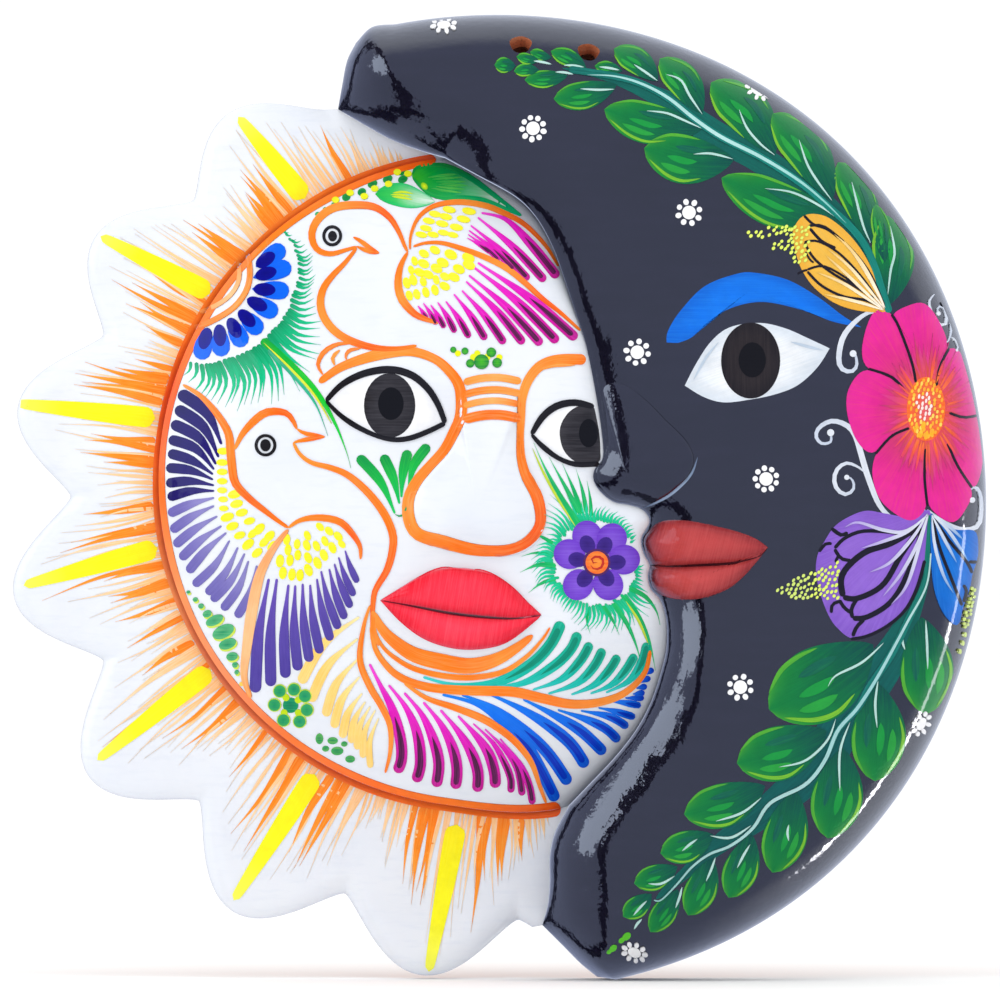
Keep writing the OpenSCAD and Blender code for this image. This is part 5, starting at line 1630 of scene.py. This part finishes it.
for pts in ([(11.2, 134.1), (13.8, 133.8), (16.7, 133.1)], [(17.9, 130.7), (20.6, 130.6), (23.4, 130)],
        [(20.6, 132.8), (23.6, 132.7), (26.7, 132.2)], [(25.6, 125.5), (31, 125.2), (36.1, 125.4)],
        [(31.4, 132.3), (34.6, 131.9), (37.6, 131.3)], [(42.2, 133), (45.8, 130.6), (49.4, 128)],
        [(46.1, 118.7), (52.2, 118), (58, 115.6), (63, 113.3)], [(52.2, 129.9), (56.6, 128.2),
        (59.4, 123.3), (63.2, 117.7)], [(60.5, 105.3), (66, 105.5), (72.7, 103.8)],
        [(74.6, 119.1), (77.1, 113.3), (81.4, 108.3), (85.6, 105.1)], [(93.1, 109.8), (95.6, 102.3),
        (99.2, 96.4), (103.3, 91)], [(109.4, 96.8), (111.6, 87.9), (113.2, 82.4), (115.2, 78)],
        [(121.3, 83.2), (122.6, 75.2), (121.4, 69.6), (120.5, 62)], [(82.6, 94.7), (91.1, 93.5),
        (100, 89.1), (107.8, 83.5)]):
    garland.brush(pts, 0.7, PALE_VEIN, "hair", level=4, thin=0.4, under=(120, 180, 170))
garland.dry()

garland = Coat("lower_garland", "moon_paint", 0)
garland.brush([(133.3, -5.5), (132.6, -17), (131.8, -26), (126.6, -38.9), (121.5, -49.2), (115.3, -58.4),
    (108, -68), (101, -80), (92, -90), (80, -99.6), (68, -108), (58, -116.6), (49, -124.6)], 8.6,
    [(8, 100, 84), (6, 92, 86), (4, 84, 84), (4, 84, 82), (6, 88, 80)], "swell", under=(8, 116, 104),
    thin=0.5, widths=[0.35, 0.5, 1.0, 1.5, 1.6, 1.5, 1.3, 1.1, 0.9, 0.6])
for k, (base, tip, half, bend) in enumerate((((116, -46), (83.8, -66), 11.6, 1.6),
        ((101.5, -72.6), (73.9, -82.6), 8.4, 1.6), ((82.6, -89.6), (57.6, -98.4), 6.8, 1.4),
        ((66.6, -104.6), (50.3, -110.4), 5.0, 0.8), ((55.6, -114.6), (42.2, -119.8), 4.0, 0.6),
        ((47.6, -123), (38.8, -130), 3.4, 0.4), ((131, -37.6), (132.4, -67.6), 8.4, 1.0),
        ((117.4, -58), (116.5, -88.2), 8.5, 0.8), ((106.6, -78), (102, -105.9), 8.0, 0.8),
        ((92, -91), (84.9, -116.4), 6.8, 0.8), ((78.6, -104.6), (71.4, -124.2), 5.4, 0.6),
        ((66.4, -112), (58.8, -129.6), 5.0, 0.6), ((55.8, -121.6), (47.2, -134.8), 3.9, 0.4))):
    foliage(garland, base, tip, half, bend, level=1 + k % 2)
garland.brush([(133.3, -6), (132.7, -18), (131.8, -27), (126.6, -38.9), (121.5, -49.2), (115.3, -58.4),
    (111.2, -65.6), (105.1, -72.4), (101, -81.8), (95, -89.2)], 2.4, [(6, 108, 92), (8, 112, 104),
    (6, 96, 92)], "swell", under=(40, 150, 136), thin=0.5, level=4)
garland.brush([(133.8, -17.8), (132.3, -28.1), (126.6, -38.9), (122.5, -46.6), (117.2, -56.2),
    (111.1, -65.6), (105.1, -72.4), (101, -81.8), (95, -89.2), (84.2, -94.9), (78.9, -102.6), (72.1, -108),
    (65.4, -110.7), (60, -114.7), (55.3, -120.1), (50.6, -124.8), (48.3, -124.9)], 1.1,
    [(190, 222, 218), (150, 204, 206), (176, 214, 212), (150, 200, 196)], "swell", level=5, thin=0.35,
    under=(110, 170, 170))
for pts in ([(124.9, -42), (125.0, -45), (125.8, -47.6)], [(132.2, -38.6), (132.6, -46), (132.8, -53.6)],
        [(119.2, -45.5), (112.5, -51.5), (104.4, -55.6), (102, -58.9)], [(117.5, -56.9), (116.6, -64.3),
        (117.2, -71.7)], [(104.4, -69), (101.7, -75.7), (95, -81.8), (86.9, -83.8)],
        [(108.8, -70), (105.7, -79.1), (105.7, -91.2)], [(81.4, -93.3), (75.5, -97.9), (67.4, -100.5)],
        [(78.2, -101.9), (72.1, -105.6), (65.7, -105)], [(89.9, -101.6), (89.5, -104), (89.9, -106.6)],
        [(78, -107.7), (76, -111), (74, -115)], [(61.7, -106), (59.4, -107.6), (57, -109.7)],
        [(67.3, -111.7), (66, -115.4), (64.4, -119.1)], [(54.7, -117.4), (50.6, -119.8), (46.6, -119.8)],
        [(57, -120.8), (56.2, -124), (55, -127.3)], [(46.1, -125.1), (44, -127.2), (42, -129.6)],
        [(44.6, -130.8), (43.2, -132.2), (42.2, -133.9)]):
    garland.brush(pts, 0.75, PALE_VEIN, "hair", level=4, thin=0.4, under=(120, 180, 170))
for c, r in (((39.9, -136.2), 1.5), ((38.4, -137.4), 1.1), ((35.8, -139.9), 1.3), ((34.6, -141), 0.9)):
    garland.dot(c, r, (96, 200, 40), r * 0.7, 40, level=1, thin=0.5, under=(20, 130, 50))
garland.dry()

# flowers of the moon's garland
centre = np.array([132.7, 26.1])
bloom = Coat("magenta_flower", "moon_paint", 4)
for outline in ([(127.7, 41.6), (123.8, 52.1), (121.2, 56.2), (116.1, 56.5), (112.7, 47.1), (113.8, 39.9),
        (121.6, 36.6)], [(127.9, 41.6), (124.2, 52.1), (122.3, 55.9), (127.1, 58.7), (131.6, 59.3),
        (135.4, 55.4), (138.8, 47.1), (136.2, 39.9)], [(136.9, 39.9), (139.7, 45.4), (143.7, 43.8),
        (146.5, 39.9), (148.2, 32.7), (148.2, 25.3), (143.7, 24.5)], [(143.7, 23.8), (148.4, 24.2),
        (149.9, 19.4), (149.9, 9.4), (147.1, 2.6), (142.3, 9.2)], [(141.8, 8.9), (146.2, 2), (145.4, -2.7),
        (140.4, -8.3), (133.4, -3.3), (132.2, 5.6)], [(131.5, 5.6), (132.2, -3.5), (127.1, -7.7),
        (118.8, -2.2), (115.8, 5.6), (116.8, 12.6), (121.6, 17.9)], [(121.4, 18.7), (115.9, 13.2),
        (111.1, 16.6), (108, 24.9), (108.3, 32.7), (113.3, 38.6), (121.4, 36.2)]):
    ring = spline(outline, 8)
    bloom.fill(np.vstack([centre[None], ring]), [(236, 84, 40), (224, 70, 56), (206, 50, 112),
        (220, 30, 140), (230, 32, 152), (222, 34, 150)], centre=lerp(centre, ring.mean(0), 0.55),
        closed=False, thin=0.55, under=(228, 70, 110), fan=centre)
for pts in ([(129.1, 34.9), (127.7, 41.6), (123.8, 52.1), (121.6, 55.9)], [(135.4, 33.8), (136.5, 39.9),
        (139.3, 45.4)], [(139.3, 25.5), (143.7, 24.1), (148.2, 24.7)], [(138.8, 16.1), (142.1, 8.9),
        (146.5, 2.3)], [(132.1, 14.4), (131.8, 5.6), (132.7, -3.3)], [(127.1, 20.8), (121.6, 18.3),
        (116.6, 12.8)], [(126, 32.1), (121.6, 36.6), (114.4, 39.1)]):
    bloom.brush(pts, 0.8, NIGHT, "line", level=2, thin=0.1, under=(60, 20, 40))
for k in range(64):
    a = 2 * math.pi * (k + rng.uniform(-0.3, 0.3)) / 64
    v = np.array([math.cos(a), math.sin(a)]) * (6.6, 10.8)
    bloom.brush([centre + v * 0.8, centre + v * 1.5, centre + v * rng.uniform(1.8, 2.35)],
        rng.uniform(1.2, 2.4), [(226, 84, 46), (204, 72, 74), (192, 54, 124)] if k % 2 else [(240, 96, 50),
        (214, 70, 112), (226, 48, 156)], "thorn", level=1, thin=0.7, under=(222, 40, 140))
for _ in range(34):
    a = rng.uniform(0, 2 * math.pi)
    v = np.array([math.cos(a), math.sin(a)]) * (6.6, 10.8)
    far = rng.uniform(1.35, 1.95)
    bloom.brush([centre + v * 0.9, centre + v * far * 0.75, centre + v * far], rng.uniform(0.5, 0.9),
        [(250, 130, 40), (236, 90, 50), (228, 60, 110)], "hair", level=2, thin=0.5, under=(230, 50, 120))
bloom.dot(centre + (-0.5, 0.6), 5.9, [(226, 70, 110), (236, 84, 60), (250, 104, 28)], 9.9, level=2,
    thin=0.5, under=(255, 170, 90))
for c in spots(130, 1.12, lambda: centre + (-0.5, 0.6) + oval(5.4, 9.2)):
    out = math.hypot((c[0] - centre[0] + 0.9) / 5.4, (c[1] - centre[1] - 1.8) / 9.2)
    tone = (253, 232, 226) if out < 0.5 and rng.random() < 0.8 else [(255, 190, 50), (255, 168, 40),
        (255, 214, 90)][int(rng.integers(3))]
    bloom.dot(c, rng.uniform(0.52, 0.78), tone, rng.uniform(0.34, 0.46), 80, level=3, thin=0.3)
for x, z in ((129.2, 20.6), (130.6, 19.0), (132.3, 18.5), (134, 19.4), (131.4, 21.6)):
    bloom.dot((x, z), 1.3, (255, 176, 30), 0.7, 78, level=3, thin=0.35)
bloom.dry()

bud = Coat("gold_bud", "moon_paint", 4)
outline = [(120.2, 56.9), (112.2, 56.9), (104.4, 59.2), (97.8, 64.1), (93.9, 69.7), (92, 75.2),
    (91.1, 80.7), (92.3, 84.1), (94.5, 86.3), (97.8, 86.9), (102.2, 85.7), (107.8, 81.3), (112.7, 75.2),
    (116.1, 68.6), (118.8, 61.4)]
bud.fill(outline, (240, 184, 66), centre=(103, 73), rim=(236, 172, 52), thin=0.5, under=(216, 180, 90),
    fan=(119.8, 57.4))
for pts, width in (
        ([(94.6, 86.4), (97.6, 83.6), (102.2, 81.9), (108.9, 76.3), (114.9, 68.6), (119.4, 58.6)], 0.8),
        ([(96.4, 82.4), (100, 78.5), (104.4, 76.3)], 0.9),
        ([(96, 83.2), (100.4, 83.2), (105.4, 79.6)], 0.8),
        ([(94.7, 78), (97.8, 73), (103.3, 68.6), (110, 64.7), (116.1, 60.8)], 0.8),
        ([(94.7, 78.2), (99, 78.4), (105.6, 74.6), (112.4, 67.4), (117.6, 60)], 0.7),
        ([(95.6, 69.7), (100, 70.8), (104.4, 69.1), (111.1, 64.7)], 0.7),
        ([(95.6, 69.1), (100, 64.7), (106.6, 61.4), (113.3, 60.3), (118.8, 58)], 0.8),
        ([(92.6, 68.4), (94.2, 69.2), (95.7, 69.6)], 0.7),
        ([(95, 75.2), (96.4, 72.8), (97.6, 71.8)], 0.6)):
    bud.brush(pts, width, NIGHT, "line", level=1, thin=0.1, under=(90, 60, 30))
for pts in ([(104, 80.6), (109.6, 75.2), (115.2, 66.4), (119.4, 57.8)], [(102, 76), (108.6, 70.6),
        (114.6, 63.6), (119.4, 57.6)], [(101.4, 74), (107.6, 68.4), (113.6, 62.6), (119.2, 57.4)],
        [(98.6, 68.8), (106.4, 65.6), (113, 61.4), (119, 57.3)], [(100.8, 62), (107.4, 60.6), (113.6, 59),
        (119.2, 57.1)], [(107, 78.6), (112.6, 71.4), (117, 63.4), (119.6, 57.9)]):
    bud.brush(pts, 0.95, [(240, 196, 100), (250, 232, 196), (254, 246, 230)], "hair", level=2, thin=0.4,
        under=(244, 206, 120))
for x0, z0, x1, z1, n in ((77, 82, 82, 79.6, 7), (83.4, 83, 90.6, 80.2, 14), (84.5, 78.5, 90, 76, 9),
        (90.6, 83, 96.1, 72, 36)):
    for c in spots(n, 1.2, lambda: (rng.uniform(x0, x1), rng.uniform(z1, z0))):
        bud.dot(c, rng.uniform(0.5, 0.72), (222, 240, 96), rng.uniform(0.36, 0.5), 50, level=3, thin=0.3,
            under=(240, 250, 160))
bud.dry()

bud = Coat("purple_bud", "moon_paint", 4)
outline = [(133.3, -4.5), (126, -6.4), (119.4, -5.5), (113.8, -4.7), (108.6, -6.5), (104, -9.6),
    (100.9, -14.2), (98.8, -18.3), (98.3, -24), (99.9, -31.2), (102.4, -37.4), (105, -41), (109.1, -44),
    (114.3, -43), (120.4, -39.9), (125.6, -35.3), (129.2, -28.6), (131.8, -19.9), (132.8, -10)]
bud.fill(outline, (138, 96, 204), centre=(114, -24), rim=(128, 86, 196), thin=0.45, under=(160, 124, 218),
    fan=(132.8, -5))
for pts, width in (
        ([(103, -10.1), (106, -12.2), (108.1, -11.4)], 1.2),
        ([(104, -16.3), (107.1, -13.2), (112.2, -11.1), (118.9, -11.1), (126, -12)], 1.1),
        ([(104, -16.5), (106, -19.4), (109.1, -20.1)], 1.1),
        ([(106.6, -31.2), (106, -26), (108.1, -21.9), (113.8, -17.3), (121.5, -14.7), (130.4, -9.4)], 1.9),
        ([(106.6, -31.4), (111.2, -31.7), (118.9, -27.6), (124.6, -18.3), (130.6, -9.6)], 1.7),
        ([(109.6, -37.9), (109.2, -35), (111, -31.8)], 1.2),
        ([(109.6, -37.9), (114.3, -37.4), (121.5, -32.7), (126.6, -24), (131.3, -10.6)], 1.6),
        ([(105.5, -32.2), (107, -34.6), (109.4, -36.4)], 1.1),
        ([(103, -36.3), (103.4, -33.6), (106, -32.6)], 1.0),
        ([(109.6, -43.5), (110.8, -40.6), (113.2, -38.2)], 1.2),
        ([(99.2, -17.4), (101.2, -15), (103.2, -14.9)], 1.0),
        ([(104.2, -20.6), (104.9, -19.2), (105.4, -18.2)], 0.9),
        ([(131.9, -20), (129.4, -28.6), (125.8, -35.4), (120.5, -40.1), (114.3, -43.3), (109.1, -44.3)],
            1.0)):
    bud.brush(pts, width, NIGHT, "line", level=1, thin=0.1, under=(60, 40, 80))
for pts in ([(107.1, -9.9), (111.2, -8.3), (118.9, -10.6), (125.6, -11.1), (132.4, -6.6)],
        [(112.2, -16.3), (118.9, -14.2), (126.6, -11.1), (132.6, -6)], [(114.8, -23.7), (121.5, -20.4),
        (128.7, -12.2), (132.6, -5.6)], [(118.9, -31.2), (124.6, -24), (129.7, -14.7), (132.8, -5.8)],
        [(121.5, -33.6), (126.6, -27), (131.6, -10.6), (133, -6)]):
    bud.brush(pts, 1.1, [(170, 150, 220), (206, 208, 232), (222, 228, 238)], "hair", level=2, thin=0.4,
        under=(170, 150, 220))


def in_tassel():
    """A place in the tassel of pollen that hangs out of the bud to the left."""
    far = rng.random() ** 0.6
    return lerp(86.3, 105.2, far), rng.uniform(lerp(-29.9, -31.8, min(1, far * 3)),
        lerp(-28.9, -20.4, far ** 0.85))


for x, z in spots(118, 1.16, in_tassel):
    bud.dot((x, z), rng.uniform(0.52, 0.74), (220, 240, 100) if x > 96 else (204, 226, 112),
        rng.uniform(0.38, 0.5), 55, level=3, thin=0.3, under=(240, 250, 160))
bud.dry()

bud = Coat("blue_bud", "moon_paint", 4)
bud.fill([(133.8, -5.5), (136.9, -9.1), (142, -10.6), (147.6, -11.1), (148.6, -16.8), (148.1, -20.4),
    (146.8, -24), (145.9, -28.6), (143.6, -35.3), (142.8, -39.0), (141, -39.9), (137.4, -35.8),
    (134.8, -28.6), (133.8, -18.3)], (0, 108, 208), centre=(140.5, -22), rim=(0, 98, 198), thin=0.45,
    under=(40, 140, 228), fan=(134, -5.5))
for pts in ([(134.2, -7), (136.4, -16), (140.2, -26), (143.4, -34)], [(134.6, -7), (139.4, -14),
        (144.8, -20.4), (146.6, -24)], [(145.6, -20.4), (147, -20.6), (148.2, -20.4)],
        [(143.8, -27.6), (144.8, -29.6), (143.9, -33)]):
    bud.brush(pts, 1.0, NIGHT, "line", level=1, thin=0.1, under=(20, 40, 80))
for pts in ([(134.1, -6), (138.4, -10), (142.6, -16), (145, -20)], [(134, -6), (137.4, -12.6),
        (141.6, -20.6)], [(134, -6), (135, -15.6), (137.6, -24.6), (140.6, -30)],
        [(134.1, -5.6), (139, -9.2), (143.6, -13.6)]):
    bud.brush(pts, 1.0, [(222, 228, 238), (200, 212, 232), (120, 170, 226)], "hair", level=2, thin=0.4,
        under=(120, 170, 226))


def in_stripe():
    """A place in the stripe of pollen beside the bud's edge."""
    u = rng.random()
    return lerp(147.0, 144.4, u) + rng.uniform(-0.9, 0.9), lerp(-28.4, -40.6, u)


for c in spots(20, 1.0, in_stripe):
    bud.dot(c, rng.uniform(0.48, 0.66), (206, 228, 110), rng.uniform(0.38, 0.5), 60, level=3, thin=0.3)
for c in ((144.4, -43), (143.7, -45.6), (142.8, -48.2)):
    bud.dot(c, 0.5, (206, 228, 110), 0.8, level=3)
bud.dry()

curls = Coat("pale_curls", "moon_paint", 3)
for pts, width in (
        ([(119.9, 56.5), (114.9, 56.5), (110.5, 53.7), (106.6, 48.8), (105.3, 42.7), (106.1, 39.3),
            (108.9, 38.2), (110.8, 39.9), (110.5, 43.2), (109.7, 43.8)], 1.7),
        ([(132.1, -4.4), (127.7, -8.3), (122.1, -7.2), (117.7, -2.7), (114.4, 5.6), (112.7, 11.1),
            (110.5, 18.3), (107.8, 21.6), (103.3, 23), (99.4, 21.1), (98.3, 18.3), (100, 16.1),
            (102.8, 16.6), (102.8, 19.4)], 1.8),
        ([(113.3, 7.2), (111.1, 8.9), (107.8, 10), (105, 8.3), (103.9, 5), (105, 1.7), (107.8, 0.3),
            (110, 2.3), (109.4, 5), (107.8, 5.6)], 1.3),
        ([(132.7, -4.4), (138.2, -8.3), (143.7, -10.5), (148.4, -9.5), (149.6, -5.5), (149.4, 0),
            (148, 2.5), (146.2, 2.2), (145.6, 0.2), (146.7, -1.4)], 1.4),
        ([(135.0, 62.2), (133.4, 60), (133.9, 56.9), (135.9, 53.2), (138.2, 52.6), (138.9, 55.6),
            (137.6, 58.4), (136, 57.9), (136.2, 56.2)], 1.1),
        ([(140.2, 49), (141.7, 48), (142.5, 46.2), (142, 44.9)], 0.7)):
    curls.brush(pts, width, [FOG, (222, 228, 238), (196, 206, 224)], "swell", thin=0.35,
        under=(150, 166, 196))
    curls.dot(pts[-1], 0.62 * width, (222, 228, 238), level=1, thin=0.3)
curls.brush([(138.4, 60.4), (139.8, 56), (140.3, 51), (139.2, 47.6), (137.4, 46.8)], 0.7,
    [FOG, (196, 206, 224)], "swell", thin=0.35, under=(150, 166, 196))
curls.dry()

# ---------------------------------------------------------------- studio


def stage_plane(name, size, place, rotation, mat):
    mesh = bpy.data.meshes.new(name)
    w, h = size[0] / 2, size[1] / 2
    mesh.from_pydata([(-w, -h, 0), (w, -h, 0), (w, h, 0), (-w, h, 0)], [], [(0, 1, 2, 3)])
    obj = bpy.data.objects.new(name, mesh)
    obj.location = place
    obj.rotation_euler = rotation
    mesh.materials.append(mat)
    bpy.context.scene.collection.objects.link(obj)
    return obj


def floor_finish():
    mat, tree, shader = nodes_of("studio_floor")
    soft = noise(tree, 3.0, 2.0)
    tree.links.new(ramp(tree, soft, [(0.3, (0.955, 0.955, 0.955)), (0.7, (0.975, 0.975, 0.975))]),
        shader.inputs["Base Color"])
    shader.inputs["Roughness"].default_value = 0.9
    shader.inputs["Specular IOR Level"].default_value = 0.0
    return mat


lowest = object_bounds()[0][2]
floor = stage_plane("studio_floor", (200, 200), (0, 0, lowest), (0, 0, 0), floor_finish())
floor.visible_glossy = False


def softbox(name, size, place, target, power):
    light = bpy.data.lights.new(name, "AREA")
    light.shape = "RECTANGLE"
    light.size, light.size_y = size
    light.energy = power
    obj = bpy.data.objects.new(name, light)
    obj.location = place
    obj.rotation_euler = (Vector(target) - Vector(place)).to_track_quat("-Z", "Y").to_euler()
    obj.visible_camera = False
    obj.visible_glossy = False
    bpy.context.scene.collection.objects.link(obj)


softbox("left_softbox", (1.2, 1.6), (-2.2, -1.6, 0.8), (0, 0, 0), 12)
softbox("top_softbox", (2.0, 1.0), (0.4, -1.0, 2.4), (0, 0, 0), 10)


# light that comes from the world, linear; what the lacquer mirrors differs from what lights the clay
ALL_ROUND = (1.06, 1.06, 1.06)
TENT_MIDDLE, TENT_SIDES, TENT_WINDOW = (0.33, 0.38, 0.58), (0.80, 0.86, 1.02), (1.7, 1.95, 2.5)
TENT_GAP, STRIP_LIGHT = (0.0, 0.0, 0.012), (14.0, 14.0, 15.0)


def studio_world():
    """White all round. What the lacquer mirrors is a blue-grey tent, brighter at the sides, with a bright
    window and a ragged dark gap on the left and a strip light behind the plaque's right edge."""
    world = bpy.data.worlds.new("studio_world")
    world.use_nodes = True
    tree = world.node_tree
    way = add(tree, "ShaderNodeTexCoord").outputs["Generated"]
    ragged = add(tree, "ShaderNodeTexNoise", {"Vector": way, "Scale": 6.0, "Detail": 6.0,
        "Roughness": 0.62})

    def towards(direction):
        return add(tree, "ShaderNodeVectorMath", {0: way, 1: tuple(Vector(direction).normalized())},
            operation="DOT_PRODUCT").outputs["Value"]

    def step(value, start, stop):
        return add(tree, "ShaderNodeMapRange", {"Value": value, "From Min": start, "From Max": stop},
            interpolation_type="SMOOTHSTEP").outputs["Result"]

    def math_node(operation, a, b):
        return add(tree, "ShaderNodeMath", {0: a, 1: b}, operation=operation).outputs[0]

    wander = math_node("MULTIPLY_ADD", ragged.outputs["Fac"], 0.44)
    wander.node.inputs[2].default_value = -0.22
    sides = math_node("MULTIPLY", step(towards((0, -1, 0)), 0.35, -0.25),
        step(towards((0.8, 0, 0.6)), -0.35, 0.25))
    tent = mix(tree, sides, TENT_MIDDLE, TENT_SIDES)
    window = step(math_node("ADD", towards((-0.88, -0.30, 0.34)), wander), 0.90, 0.93)
    tent = mix(tree, window, tent, TENT_WINDOW)
    gap = math_node("ADD", towards((-1, 0, 0)), wander)
    gap = math_node("MULTIPLY", step(gap, 0.54, 0.56), step(gap, 0.72, 0.70))
    gap = math_node("MULTIPLY", gap, step(ragged.outputs["Fac"], 0.34, 0.38))
    tent = mix(tree, gap, tent, TENT_GAP)
    strip = math_node("MULTIPLY", step(towards((0.14, 0.99, 0)), 0.19, 0.23),
        step(towards((0.14, 0.99, 0)), 0.34, 0.30))
    strip = math_node("MULTIPLY", strip, step(towards((1, 0, 0)), 0.6, 0.7))
    strip = math_node("MULTIPLY", strip, step(towards((0, 0, -1)), 0.02, 0.08))
    tent = mix(tree, strip, tent, STRIP_LIGHT)
    mirrored = add(tree, "ShaderNodeLightPath").outputs["Is Glossy Ray"]
    tree.links.new(mix(tree, mirrored, ALL_ROUND, tent),
        tree.nodes["Background"].inputs["Color"])
    bpy.context.scene.world = world


studio_world()
bpy.context.scene.view_settings.view_transform = "Standard"
